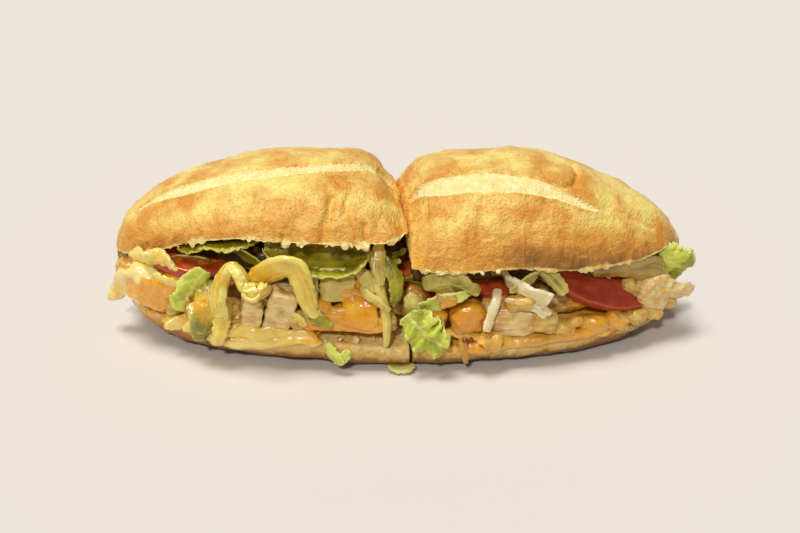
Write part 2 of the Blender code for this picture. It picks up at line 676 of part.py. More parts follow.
def hand_placed_shreds():
    """Pale shreds and ribs in front of the right half's lettuce."""
    data = [
        dict(path=[(58, -27, 49), (60, -32, 48.5), (66, -34, 43), (71, -35.5, 37)], width=[4, 5, 6, 5]),
        dict(path=[(62, -27, 47), (59, -32, 45), (53, -35, 41.5), (47, -37.5, 39)], width=[4, 6, 5, 3]),
        dict(path=[(48, -28, 40), (53, -34, 37.5), (59, -36, 33), (65, -38, 28)], width=[3, 3, 3, 2.5]),
        dict(path=[(43, -23, 44), (41.5, -34, 41), (39.5, -40, 33), (37, -42, 22)], width=[4, 4.5, 4.5, 4]),
    ]
    parts = [sheet(side=Vector((0.6, 0.2, 0.8)), thick=1.6, cup=0.4, across=2, steps=4, **values)
             for values in data[:-1]]
    parts.append(sheet(side=Vector((1, 0.1, 0)), thick=1.8, cup=0.4, across=2, steps=4, **data[-1]))
    fan = dict(path=[(45, -24, 43), (49, -33, 40.5), (56, -37, 38), (64, -37.5, 34.5)], width=[4, 8, 10, 9])
    parts.append(sheet(side=Vector((0.2, 0.3, -1)), thick=1.8, cup=-1, wave=0.6, across=2, steps=5, **fan))
    return parts


def layers():
    """The layers that run through each half, under and between the pieces."""
    meat = (200, 150, 84)
    green = (190, 184, 96)
    right_front = hand_placed_shreds()
    white_bit = chunk((43, -31, 31), (8, 9, 8), (0, 0, 20), 31, cuts=1)
    return [
        join_all("chicken_left", [filling_core(LEFT, 0.09, 0.49, 0.84, 1.0, 112, 41)], meat, 0.4),
        join_all("chicken_right", [filling_core(RIGHT, 0.09, 0.49, 0.84, 1.0, 112, 42), white_bit],
                 meat, 0.4),
        join_all("lettuce_left", [filling_core(LEFT, 0.5, 0.95, 0.83, 1.0, 108, 43)]
                 + shreds(LEFT, 8, 100, 6, 51), green, 0.4),
        join_all("lettuce_right", [filling_core(RIGHT, 0.5, 0.95, 0.83, 1.0, 108, 44)]
                 + shreds(RIGHT, 10, 72, 3, 52) + right_front, green, 0.4),
    ]


def main():
    for obj in list(bpy.data.objects):
        bpy.data.objects.remove(obj)
    placed = bread_halves()
    for group in (chicken_pieces, leaves, tomatoes, cheese_sheets, front_scrap, layers):
        for obj in group():
            make_room(obj, placed)
            placed.append(obj)


main()
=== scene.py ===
import math
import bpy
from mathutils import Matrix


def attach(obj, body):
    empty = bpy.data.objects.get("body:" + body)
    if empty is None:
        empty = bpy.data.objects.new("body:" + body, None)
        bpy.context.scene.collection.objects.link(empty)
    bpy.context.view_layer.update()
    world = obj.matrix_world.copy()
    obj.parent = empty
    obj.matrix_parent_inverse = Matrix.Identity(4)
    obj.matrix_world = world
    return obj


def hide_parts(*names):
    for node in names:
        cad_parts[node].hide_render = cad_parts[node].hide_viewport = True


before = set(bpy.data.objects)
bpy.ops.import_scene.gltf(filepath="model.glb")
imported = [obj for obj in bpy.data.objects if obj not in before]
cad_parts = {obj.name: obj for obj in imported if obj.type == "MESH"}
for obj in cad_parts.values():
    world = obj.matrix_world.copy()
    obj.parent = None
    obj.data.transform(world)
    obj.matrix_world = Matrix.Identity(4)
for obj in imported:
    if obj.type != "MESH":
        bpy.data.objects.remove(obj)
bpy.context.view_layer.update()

from types import SimpleNamespace

import bmesh
import bpy
import numpy as np
from mathutils import Euler, Vector

scene = bpy.context.scene
scene.view_settings.view_transform = "Standard"

mm = 0.001
yShift = 2.6            # the frame's middle line lies this far behind y = 0
splitHeight = 38.0      # where top and bottom of the roll meet at the back
halfDepth = 42.0
bend = 5.0              # how far back the tips bend
tipRise = 24.0          # height of the crust's underside at the tips


# Camera, light and floor

cameraLook = dict(elevation=30.0, distance=606.0, lens=60.0, aim=(0.0, yShift, 30.0))
keySun = dict(name="keySun", turn=(3, -12, 0), power=2.25, spread=22)
frontSun = dict(name="frontSun", turn=(44, -14, 0), power=1.15, spread=5)
worldLook = dict(colour=(1.0, 0.985, 0.95), power=0.145)
floorColour = (223, 217, 206)


# 0 to 255 screen colour as Blender's linear one
def linear(colour):
    return [((c / 255 + 0.055) / 1.055) ** 2.4 if c > 10 else c / 255 / 12.92 for c in colour] + [1.0]


def addObject(name, data):
    obj = bpy.data.objects.new(name, data)
    scene.collection.objects.link(obj)
    return obj


def addCamera(look):
    tilt = math.radians(look["elevation"])
    data = bpy.data.cameras.new("camera")
    data.lens, data.sensor_width = look["lens"], 36
    scene.camera = addObject("camera", data)
    back = Vector((0, -math.cos(tilt), math.sin(tilt))) * look["distance"]
    scene.camera.location = Vector(look["aim"]) * mm + back * mm
    scene.camera.rotation_euler = (math.pi / 2 - tilt, 0, 0)


def addSun(look):
    data = bpy.data.lights.new(look["name"], "SUN")
    data.energy, data.angle = look["power"], math.radians(look["spread"])
    addObject(look["name"], data).rotation_euler = [math.radians(a) for a in look["turn"]]


def addWorld(look):
    scene.world = bpy.data.worlds.new("world")
    scene.world.use_nodes = True
    sky = scene.world.node_tree.nodes["Background"].inputs
    sky["Color"].default_value = (*look["colour"], 1)
    sky["Strength"].default_value = look["power"]


def newMaterial(name, **sockets):
    material = bpy.data.materials.new(name)
    material.use_nodes = True
    shader = material.node_tree.nodes["Principled BSDF"].inputs
    for label, value in sockets.items():
        shader[label.replace("_", " ")].default_value = value
    return material, material.node_tree, shader


# flat near the food, then sweeping up behind it
def addFloor():
    reach, flat, rise, steps = 4000, 900, 900, 16
    profile = [(-reach, 0), (flat, 0)]
    for k in range(1, steps + 1):
        angle = math.pi / 2 * k / steps
        profile.append((flat + rise * math.sin(angle), rise * (1 - math.cos(angle))))
    points = [Vector((x, y, z)) * mm for x in (-reach, reach) for y, z in profile]
    count = len(profile)
    mesh = bpy.data.meshes.new("floor")
    mesh.from_pydata(points, [], [(k, k + count, k + count + 1, k + 1) for k in range(count - 1)])
    mesh.shade_smooth()
    mesh.materials.append(newMaterial("floorPaper", Base_Color=linear(floorColour), Roughness=0.9,
        Specular_IOR_Level=0.1)[0])
    addObject("floor", mesh)


addCamera(cameraLook)
for sunLook in (keySun, frontSun):
    addSun(sunLook)
addWorld(worldLook)
addFloor()
print("camera, light and floor are set")


# Small numeric helpers

# values at t, an array, on a smooth curve through a few (t, value) points
def smoothCurve(points, t):
    ts, hs = np.array(points, float).T
    t = np.clip(np.asarray(t, float), ts[0], ts[-1])
    k = np.clip(np.searchsorted(ts, t, side="right") - 1, 0, len(ts) - 2)
    before, after = np.maximum(k - 1, 0), np.minimum(k + 2, len(ts) - 1)
    span = ts[k + 1] - ts[k]
    u = (t - ts[k]) / span
    m1 = (hs[k + 1] - hs[before]) / (ts[k + 1] - ts[before]) * span
    m2 = (hs[after] - hs[k]) / (ts[after] - ts[k]) * span
    value = hs[k] * (2 * u**3 - 3 * u**2 + 1) + hs[k + 1] * (3 * u**2 - 2 * u**3)
    return value + m1 * (u**3 - 2 * u**2 + u) + m2 * (u**3 - u**2)


# pseudo random number from -1 to 1 for each lattice point
def latticeValue(ix, iy, iz, seed):
    h = (ix * 374761393 + iy * 668265263 + iz * 1442695041 + seed * 974634777) & 0xFFFFFFFF
    h = ((h ^ (h >> 13)) * 1274126177) & 0xFFFFFFFF
    h = h ^ (h >> 16)
    return h / 0xFFFFFFFF * 2 - 1


# smooth noise from -1 to 1 at points in mm; size is one lump's width, or three of them
def lumps(points, size, seed=0):
    p = np.asarray(points, float) / np.asarray(size, float)
    base = np.floor(p).astype(np.int64)
    f = p - base
    f = f * f * f * (f * (f * 6 - 15) + 10)
    total = 0.0
    for dx in (0, 1):
        for dy in (0, 1):
            for dz in (0, 1):
                weight = (f[..., 0] if dx else 1 - f[..., 0]) * (f[..., 1] if dy else 1 - f[..., 1])
                weight = weight * (f[..., 2] if dz else 1 - f[..., 2])
                corner = base + (dx, dy, dz)
                total = total + weight * latticeValue(corner[..., 0], corner[..., 1], corner[..., 2], seed)
    return total


# noise with finer lumps on coarser ones
def layered(points, size, seed=0, layers=3):
    size = np.asarray(size, float)
    return sum(lumps(points, size / 2**k, seed + 7 * k) * 0.5**k for k in range(layers))


def ramp(value, low, high):
    t = np.clip((value - low) / (high - low), 0, 1)
    return t * t * (3 - 2 * t)


def unit(vectors):
    return vectors / np.maximum(np.linalg.norm(vectors, axis=-1, keepdims=True), 1e-9)


# piece's name out of its node's
def titled(node):
    return node.replace("_", " ").title().replace(" ", "")


def addLayer(mesh, key, values):
    layer = mesh.attributes.new(key, "FLOAT", "POINT")
    layer.data.foreach_set("value", np.asarray(values, np.float32).ravel())


# faces between neighbouring rows of points; rows that are rings close on themselves
def rowFaces(rows, size, rings=False):
    step = np.arange(size if rings else size - 1)
    base = np.arange(rows - 1)[:, None] * size + step
    after = np.arange(rows - 1)[:, None] * size + (step + 1) % size
    return np.stack([base, after, after + size, base + size], -1).reshape(-1, 4)


# faces of a tube of rings with both ends shut
def tubeFaces(rings, size):
    ends = [list(range(size))[::-1], list(range((rings - 1) * size, rings * size))]
    return rowFaces(rings, size, True).tolist() + ends


# faces of a closed sheet: its upper grid of points, its lower one and the rim between
def sheetFaces(rows, wide):
    index = np.arange(rows * wide).reshape(rows, wide)
    top = rowFaces(rows, wide)
    border = np.concatenate([index[0, :-1], index[:-1, -1], index[-1, :0:-1], index[:0:-1, 0]])
    after = np.roll(border, -1)
    skirt = np.stack([border, border + rows * wide, after + rows * wide, after], -1)
    return np.concatenate([top, top[:, [0, 3, 2, 1]] + rows * wide, skirt])


# mesh from points in mm, in metres in the frame, with point attributes
def meshObject(name, points, faces, **layers):
    mesh = bpy.data.meshes.new(name)
    points = (np.asarray(points, float).reshape(-1, 3) + (0, yShift, 0)) * mm
    mesh.from_pydata(points.tolist(), [], faces if isinstance(faces, list) else faces.tolist())
    for key, values in layers.items():
        addLayer(mesh, key, values)
    mesh.shade_smooth()
    return addObject(name, mesh)


# share of sauce at points, from soft round spots given as centre, radius and amount
def stainAt(points, spots, seed):
    total = np.zeros(points.shape[:-1])
    wobble = 1 + 0.3 * layered(points, 5.0, seed)
    for centre, radius, amount in spots:
        far = np.linalg.norm(points - np.array(centre, float), axis=-1) * wobble
        total = np.maximum(total, amount * (1 - ramp(far, 0.55 * radius, 1.15 * radius)))
    return total


def meshArray(items, key):
    values = np.empty(len(items) * 3, np.float32)
    items.foreach_get(key, values)
    return values.reshape(-1, 3).astype(float)


def placeVertices(mesh, points):
    mesh.vertices.foreach_set("co", points.astype(np.float32).ravel())
    mesh.update()


def tidyMesh(obj, merge=0.000002):
    bm = bmesh.new()
    bm.from_mesh(obj.data)
    bmesh.ops.remove_doubles(bm, verts=bm.verts, dist=merge)
    bmesh.ops.recalc_face_normals(bm, faces=bm.faces)
    bm.to_mesh(obj.data)
    bm.free()


# gives a piece its material, body and replaced nodes; nothing reaches below the floor
def finishPiece(obj, material, slot, *nodes):
    places = meshArray(obj.data.vertices, "co")
    places[:, 2] = np.maximum(places[:, 2], 0)
    placeVertices(obj.data, places)
    obj.data.materials.clear()
    obj.data.materials.append(material)
    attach(obj, "root")
    if nodes:
        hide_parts(*nodes)


# Shader groups and materials

def feed(tree, value, socket):
    if isinstance(value, bpy.types.NodeSocket):
        tree.links.new(value, socket)
    else:
        socket.default_value = value


# node with its settings, and its sockets fed by values or by other nodes
def addNode(tree, kind, inputs=None, **settings):
    node = tree.nodes.new(kind)
    for key, value in settings.items():
        setattr(node, key, value)
    for key, value in (inputs or {}).items():
        feed(tree, value, node.inputs[key])
    return node


# node group with its inlet and outlet; inputs and outputs are kinds by label, and values may be given
def newGroup(name, kind, inputs, outputs, **values):
    group = bpy.data.node_groups.new(name, kind)
    for direction, sockets in (("INPUT", inputs), ("OUTPUT", outputs)):
        for label, socketKind in sockets.items():
            socket = group.interface.new_socket(
                name=label, in_out=direction, socket_type="NodeSocket" + socketKind)
            if label in values:
                socket.default_value = values[label]
    return group, addNode(group, "NodeGroupInput").outputs, addNode(group, "NodeGroupOutput").inputs


def objectPlace(tree):
    return addNode(tree, "ShaderNodeTexCoord").outputs["Object"]


def addNoise(tree, vector, scale, detail=4.0, rough=0.55):
    return addNode(tree, "ShaderNodeTexNoise", {"Vector": vector, "Scale": scale, "Detail": detail,
        "Roughness": rough}).outputs["Fac"]


def addMath(tree, kind, first, second=0.0, clamp=False):
    return addNode(tree, "ShaderNodeMath", {0: first, 1: second}, operation=kind,
        use_clamp=clamp).outputs[0]


def addRange(tree, value, low, high, toLow=0.0, toHigh=1.0):
    return addNode(tree, "ShaderNodeMapRange", {"Value": value, "From Min": low, "From Max": high,
        "To Min": toLow, "To Max": toHigh}).outputs[0]


def addMix(tree, share, first, second):
    return addNode(tree, "ShaderNodeMix", {"Factor": share, "A": first, "B": second},
        data_type="RGBA").outputs["Result"]


# two colours that drift into each other over the surface, with fine specks of the second
def makeDriftGroup():
    group, inlet, outlet = newGroup(
        "colourDrift", "ShaderNodeTree", dict(Light="Color", Dark="Color", Scale="Float", Specks="Float"),
        dict(Colour="Color"), Light=(1, 1, 1, 1), Dark=(0, 0, 0, 1), Scale=60.0, Specks=0.3)
    place = objectPlace(group)
    broad = addRange(group, addNoise(group, place, inlet["Scale"]), 0.36, 0.64)
    fineScale = addMath(group, "MULTIPLY", inlet["Scale"], 9.0)
    fine = addRange(group, addNoise(group, place, fineScale, 3.0), 0.5, 0.72)
    both = addMath(group, "MAXIMUM", broad, addMath(group, "MULTIPLY", fine, inlet["Specks"]), True)
    feed(group, addMix(group, both, inlet["Light"], inlet["Dark"]), outlet["Colour"])
    return group


# height of a fine uneven skin: soft dimples with a grain on them
def makeGrainGroup():
    group, inlet, outlet = newGroup("fineGrain", "ShaderNodeTree", dict(Scale="Float", Dimples="Float"),
        dict(Height="Float"), Scale=300.0, Dimples=0.5)
    place = objectPlace(group)
    grain = addNoise(group, place, inlet["Scale"], 6.0, 0.6)
    cellScale = addMath(group, "MULTIPLY", inlet["Scale"], 1.7)
    cells = addNode(group, "ShaderNodeTexVoronoi", {"Vector": place, "Scale": cellScale})
    dimples = addMath(group, "MULTIPLY", addRange(group, cells.outputs["Distance"], 0.0, 0.5),
        inlet["Dimples"])
    feed(group, addMath(group, "ADD", grain, dimples), outlet["Height"])
    return group


# patches of sauce over what lies under it
def makeSauceGroup():
    group, inlet, outlet = newGroup("sauceFilm", "ShaderNodeTree",
        dict(Under="Color", Sauce="Color", Amount="Float", Scale="Float"),
        dict(Colour="Color", Mask="Float"), Under=(1, 1, 1, 1), Sauce=(1, 0.4, 0.05, 1), Amount=0.5,
        Scale=90.0)
    patches = addNoise(group, objectPlace(group), inlet["Scale"], 3.0)
    low = addMath(group, "SUBTRACT", 0.75, addMath(group, "MULTIPLY", inlet["Amount"], 0.85))
    mask = addRange(group, patches, low, addMath(group, "ADD", low, 0.42))
    feed(group, addMix(group, mask, inlet["Under"], inlet["Sauce"]), outlet["Colour"])
    feed(group, mask, outlet["Mask"])
    return group


driftGroup = makeDriftGroup()
grainGroup = makeGrainGroup()
sauceGroup = makeSauceGroup()


def placeGroup(tree, group, **values):
    return addNode(tree, "ShaderNodeGroup", values, node_tree=group).outputs


# colour that drifts between two screen colours
def addDrift(tree, light, dark, scale, specks):
    return placeGroup(tree, driftGroup, Light=linear(light), Dark=linear(dark), Scale=scale,
        Specks=specks)["Colour"]


def addSauce(tree, under, sauce, amount, scale):
    return placeGroup(tree, sauceGroup, Under=under, Sauce=linear(sauce), Amount=amount, Scale=scale)


def addAttribute(tree, name):
    return addNode(tree, "ShaderNodeAttribute", attribute_name=name).outputs["Fac"]


# bump of a height, with its depth in mm
def addBump(tree, shader, height, strength, distance):
    bump = addNode(tree, "ShaderNodeBump", dict(Strength=strength, Distance=distance * mm, Height=height))
    feed(tree, bump.outputs["Normal"], shader["Normal"])


def addGrain(tree, shader, scale, dimples, strength, distance):
    grain = placeGroup(tree, grainGroup, Scale=scale, Dimples=dimples)
    addBump(tree, shader, grain["Height"], strength, distance)


breadLook = dict(pale=(255, 228, 126), golden=(228, 156, 58), brown=(132, 86, 30), slash=(253, 240, 176),
    slashShade=(250, 224, 144), crumb=(253, 232, 158), crumbShade=(238, 194, 104), sauce=(246, 178, 62))


def makeBreadMaterial(look):
    material, tree, shader = newMaterial(
        "bakedBread", Subsurface_Weight=0.12, Subsurface_Radius=(0.5, 0.28, 0.12), Subsurface_Scale=0.003,
        Specular_IOR_Level=0.4)
    # this layer carries the crust's browning together with painted shade and painted light
    bake, crumb = addAttribute(tree, "bake"), addAttribute(tree, "crumb")
    drift = addDrift(tree, look["pale"], look["golden"], 70.0, 0.25)
    light = addMix(tree, addRange(tree, bake, -0.05, 0.6), drift, linear(look["golden"]))
    crust = addMix(tree, addRange(tree, bake, 0.5, 1.0), light, linear(look["brown"]))
    floured = addRange(tree, addAttribute(tree, "slash"), -0.15, 0.15)
    crust = addMix(tree, floured, crust, addDrift(tree, look["slash"], look["slashShade"], 240.0, 0.5))
    colour = addMix(tree, crumb, crust, addDrift(tree, look["crumb"], look["crumbShade"], 260.0, 0.6))
    sauced = addSauce(tree, colour, look["sauce"], addAttribute(tree, "stain"), 150.0)
    feed(tree, sauced["Colour"], shader["Base Color"])
    dry = addRange(tree, addMath(tree, "MAXIMUM", floured, crumb), 0.0, 1.0, 0.36, 0.85)
    wet = addMath(tree, "MULTIPLY", sauced["Mask"], 0.3)
    feed(tree, addMath(tree, "SUBTRACT", dry, wet, True), shader["Roughness"])
    addGrain(tree, shader, scale=480.0, dimples=0.5, strength=1.0, distance=0.75)
    return material


breadMaterial = makeBreadMaterial(breadLook)
print("shader groups and bread material are made")


# The roll: one closed mesh for each half, cut open from the front and hinged at the back

# where the cut between the halves crosses y = 0, how it slants, its gap, and how far that widens
# and bulges at the top
cutLook = dict(x=0.6, slant=-0.109, gap=0.9, flare=2.2, bulge=2.2)

# lines of (distance from the cut, height or place in depth), creases with a width and a depth, and
# stains as a centre, a radius and an amount; the low-wall weight is how much browning and painted
# shade the lower front wall takes
leftHalf = dict(
    side=-1, length=128.5, lowBakeAndShade=0.22,
    crown=[(0, 67), (4, 71), (10, 78), (22, 82), (44, 83.5), (66, 81), (89, 75.5), (105, 68), (116, 60),
        (121, 56), (125, 49.5), (128.5, 41)],
    lip=[(0, 62), (46, 62), (67, 62), (85, 58.5), (96, 54.5), (108, 48.5), (116, 44.5), (124, 41),
        (128.5, 39.5)],
    edge=[(0, 12), (22, 13), (44, 15), (61, 12.5), (79, 12), (88, 14.5), (112, 15.5), (121, 17), (125, 26),
        (128.5, 37)],
    slash=[(0, 6), (8, 2.5), (26, -5), (47, -10.5), (69, -12), (90, -14), (110, -11), (128.5, -10)],
    slashWidth=[(0, 6), (26, 7.5), (60, 7), (84, 9), (100, 10), (112, 7), (122, 2.5), (128.5, 0)],
    creases=[([(29.5, -24), (30.5, -30), (33.5, -35), (34.5, -41)], 1.5, 2.0),
        ([(23, -23), (25.5, -31), (31, -34)], 1.0, 1.1), ([(17.5, -33), (18, -41)], 0.8, 1.5),
        ([(53.5, -26), (56, -33)], 2.6, 0.7), ([(9, -20), (11, -34)], 3.0, 0.8),
        ([(40, -30), (44, -38)], 3.5, 0.9)],
    stains=[((-31, -41, 14), 6, 0.6), ((-24, -40, 19), 9, 0.45), ((-35, -40, 19), 7, 0.6),
        ((-10, -41, 15), 7, 0.3), ((-14, -30, 16), 14, 0.3), ((-112, -14, 14), 8, 0.45),
        ((-6, -34, 58), 4, 0.7)])
rightHalf = dict(
    side=1, length=126.5, lowBakeAndShade=0.43,
    crown=[(0, 66), (4, 72), (9, 77), (22, 81), (44, 83.5), (57, 83), (69, 80), (89, 72.5), (107, 63),
        (118, 54), (123, 47.5), (126.5, 42)],
    lip=[(0, 51.5), (17, 50), (42, 51), (55, 50.5), (68, 48), (86, 46.5), (104, 45.5), (113, 46), (119, 46),
        (123, 43), (126.5, 38.8)],
    edge=[(0, 12), (9, 14), (26, 12), (44, 11.5), (61, 13), (79, 13.5), (97, 15), (112, 17.5), (119, 22),
        (123, 30), (126.5, 37.4)],
    slash=[(0, -6), (4, -9), (10, -13.5), (33, -16.5), (55, -20.5), (68, -23.5), (80, -26.5), (126.5, -30)],
    slashWidth=[(0, 5), (10, 10), (30, 12), (52, 10), (66, 6.5), (80, 3), (92, 0), (126.5, 0)],
    creases=[([(76, 8), (78, -2), (75.5, -14), (71, -18)], 1.3, 1.4), ([(34.5, -25), (32, -36)], 2.0, 0.8),
        ([(88, -24), (99, -27), (110, -30)], 1.6, 0.9), ([(26, 2), (27, -9)], 1.1, 0.7),
        ([(21, -27), (18.5, -34)], 2.4, 0.7), ([(48.5, -1), (49.5, -16)], 1.2, 0.6),
        ([(6, -24), (8, -38)], 2.5, 0.8), ([(63, -24), (58, -34)], 3.0, 0.6)],
    stains=[((8, -38, 53.5), 3.4, 0.65), ((22, -36, 14), 9, 0.75), ((28, -41, 10), 4, 0.8),
        ((80, -27, 15), 10, 0.5)])
breadMesh = dict(stations=160, topPoints=150, bottomPoints=50, tipStations=34, cutRings=12, tipRings=5,
    lipBias=1.3)


# the joint at the back: its place as a share of the depth, how far under the split it lies, and
# how wide it stands open, up to where it closes towards the tip
hinge = dict(depth=0.66, below=2, opening=9.0, least=0.8, closing=20.0)


# cross-sections at distances s from the cut; every value is an array along the half
class Section:

    def __init__(self, half, s):
        self.half, self.s = half, np.atleast_1d(np.asarray(s, float))
        reach = np.minimum(self.s / half["length"], 0.9999)
        self.reach = reach
        self.depth = halfDepth * (1 - reach**2.6) ** (1 / 1.8)
        self.mid = bend * reach**2
        self.crown = smoothCurve(half["crown"], self.s)
        self.base = tipRise * np.maximum(0, (reach - 0.55) / 0.45) ** 4.5
        self.power = 7.0 - 3.0 * reach
        self.lipZ = smoothCurve(half["lip"], self.s)
        self.edgeZ = smoothCurve(half["edge"], self.s)
        closing = np.minimum(1.0, (half["length"] - self.s) / hinge["closing"])
        self.open = np.maximum(hinge["least"], hinge["opening"] * closing)
        self.hingeY = self.mid + hinge["depth"] * self.depth
        self.hingeZ = splitHeight - hinge["below"]
        share = np.clip((self.lipZ - splitHeight) / np.maximum(0.5, self.crown - splitHeight), 0, 1)
        self.lipY = self.mid - self.depth * (1 - share**2.5) ** 0.4
        self.edgeY = self.bottomY(self.edgeZ)

    def bottomY(self, z):
        share = np.clip((splitHeight - z) / (splitHeight - self.base), 0, 1)
        return self.mid - self.depth * (1 - share**self.power) ** (1 / self.power)

    # y and z in the opening: across 0 at the hinge to 1 at the front, up 0 to 1
    def filling(self, across, up):
        lowY = self.hingeY + (self.edgeY - self.hingeY) * across
        lowZ = self.hingeZ - self.open / 2 + (self.edgeZ - self.hingeZ + self.open / 2) * across
        highY = self.hingeY + (self.lipY - self.hingeY) * across
        highZ = self.hingeZ + self.open / 2 + (self.lipZ - self.hingeZ - self.open / 2) * across
        return lowY + (highY - lowY) * up, lowZ + (highZ - lowZ) * up

    # world x for points of these sections, sheared towards the slanted cut
    def place(self, y, z):
        s, side = self.s, self.half["side"]
        if np.ndim(y) > 1:
            s = s[:, None]
        near = np.maximum(0, 1 - s / 45.0)
        slant = (cutLook["x"] + cutLook["slant"] * y) * near
        flare = cutLook["flare"] * np.clip((z - 45) / 30.0, 0, 1)
        gap = (cutLook["gap"] + flare) * np.maximum(0, 1 - s / 12.0)
        return np.stack(np.broadcast_arrays(side * s + slant + side * gap, y, z), -1)


# points at even steps of length along each row's line, kept off its ends; a bias above 1
# draws them towards its start
def evenly(points, count, bias=1.0):
    steps = np.linalg.norm(np.diff(points, axis=1), axis=2)
    length = np.concatenate([np.zeros((len(points), 1)), np.cumsum(steps, axis=1)], axis=1)
    at = ((np.arange(count) + 0.5) / count) ** bias
    rows = []
    for row, run in zip(points, length):
        target = at * run[-1]
        rows.append(np.stack([np.interp(target, run, row[:, 0]), np.interp(target, run, row[:, 1])], -1))
    return np.array(rows), length[:, -1:]


def powered(value, power):
    return np.sign(value) * np.abs(value) ** power


def creaseDepth(s, offset, creases, seed):
    total = np.zeros_like(offset)
    points = np.stack(np.broadcast_arrays(s, offset, 0 * s), -1)
    wobble = 0.7 * lumps(points, 4.0, seed)
    for line, width, depth in creases:
        nearest = np.full(offset.shape, 1e9)
        for (s0, o0), (s1, o1) in zip(line, line[1:]):
            ds, do = s1 - s0, o1 - o0
            t = np.clip(((s - s0) * ds + (offset - o0) * do) / (ds * ds + do * do), 0, 1)
            nearest = np.minimum(nearest, np.hypot(s + wobble - s0 - t * ds, offset - o0 - t * do))
        total += depth * np.exp(-(nearest / width) ** 2)
    return total


# y and z of each section, from the lip over the top and round to the lower edge, then back
# through the opening; and the lengths of the outer top and bottom
def breadOutline(sec, col, counts):
    rise = (col.lipZ - splitHeight) / np.maximum(0.5, col.crown - splitHeight)
    start = np.arcsin(np.minimum(0.95, rise**1.25))
    angle = start + (math.pi - start) * np.linspace(0, 1, 260)
    topZ = splitHeight + (col.crown - splitHeight) * np.abs(np.sin(angle)) ** 0.8
    topArc = np.stack([col.mid - col.depth * powered(np.cos(angle), 0.8), topZ], -1)
    height = splitHeight - col.base
    fall = np.clip((splitHeight - col.edgeZ) / height, 0.02, 0.97)
    stop = np.arcsin(fall ** (col.power / 2))
    angle = (math.pi - stop) * np.linspace(0, 1, 700) ** 2.2
    drop = height * np.abs(np.sin(angle)) ** (2 / col.power)
    bottomZ = splitHeight - np.minimum(height, drop * height / (height - 0.8))
    bottomArc = np.stack([col.mid + col.depth * powered(np.cos(angle), 2 / col.power), bottomZ], -1)

    def knot(across, up):
        return np.stack(sec.filling(across, up), -1)[:, None, :]

    tipOfHinge = np.stack([sec.hingeY + sec.open * 0.25, np.full_like(sec.s, sec.hingeZ)], -1)[:, None, :]
    topCut = np.concatenate([knot(1.0, 1.0), knot(0.05, 1.0), tipOfHinge], 1)
    bottomCut = np.concatenate([tipOfHinge, knot(0.05, 0.0), knot(1.0, 0.0)], 1)
    nTop, nBottom, bias = counts["topPoints"], counts["bottomPoints"], counts["lipBias"]
    (outerTop, runTop), (outerBottom, runBottom) = evenly(topArc, nTop, bias), evenly(bottomArc, nBottom)
    innerTop, innerBottom = evenly(topCut, nTop, bias)[0], evenly(bottomCut, nBottom)[0]
    outline = np.concatenate([outerTop, outerBottom, innerBottom[:, ::-1], innerTop[:, ::-1]], 1)
    return outline, runTop, runBottom


# what relief and colours share, at each point: where it lies, its noise and its place by the slash
def crustPlaces(half, sec, col, outline, counts, seed):
    at = SimpleNamespace(points=sec.place(outline[..., 0], outline[..., 1]), z=outline[..., 1])
    number = np.arange(outline.shape[1])
    at.top = (number < counts["topPoints"]) * 1.0
    at.outer = (number < counts["topPoints"] + counts["bottomPoints"]) * 1.0
    offset = outline[..., 0] - col.mid
    at.behind = offset / np.maximum(col.depth, 1)
    at.scaled = offset * halfDepth / np.maximum(col.depth, 1)
    at.rough = layered(at.points, 7.0, seed)
    at.fine = lumps(at.points, 2.2, seed + 3)
    at.tearing = lumps(at.points, (3.4, 9, 9), seed + 5) + 0.6 * lumps(at.points, (1.3, 5, 5), seed + 6)

    width = smoothCurve(half["slashWidth"], sec.s)[:, None] / 2
    away = at.scaled - smoothCurve(half["slash"], sec.s)[:, None] + 0.5 * at.rough + 0.2 * at.fine
    within = width - np.abs(away) - 1.5 * (1 - ramp(width, 0.1, 1.2))
    at.slashInside = np.where(at.top * at.outer > 0, np.clip(within, -3, 3), -3)
    at.upperRim = at.top * np.exp(-((away - width - 0.9) / 0.9) ** 2) * ramp(width, 0.5, 2)
    at.lowerRim = at.top * np.exp(-((away + width + 0.6) / 0.6) ** 2) * ramp(width, 0.5, 2)
    at.groove = at.top * np.exp(-((away - width + 0.8) / 0.8) ** 2) * ramp(width, 0.5, 2)
    at.dusty = ramp(np.abs(away) - width, 9, 1) * ramp(width, 0.3, 2) * ramp(at.rough, -0.5, 0.6)

    points = at.points
    at.wrinkles = np.clip(1 - 4 * np.abs(lumps(points, (6, 9, 15), seed + 23)), 0, 1) ** 2
    at.wrinkles += 0.7 * np.clip(1 - 4 * np.abs(lumps(points, (3, 5, 6), seed + 24)), 0, 1) ** 2
    pitted = ramp(lumps(points, 12, seed + 27), -0.2, 0.5)
    at.pits = ramp(lumps(points, (2.4, 2.4, 3.4), seed + 26), 0.35, 0.8) * pitted
    return at


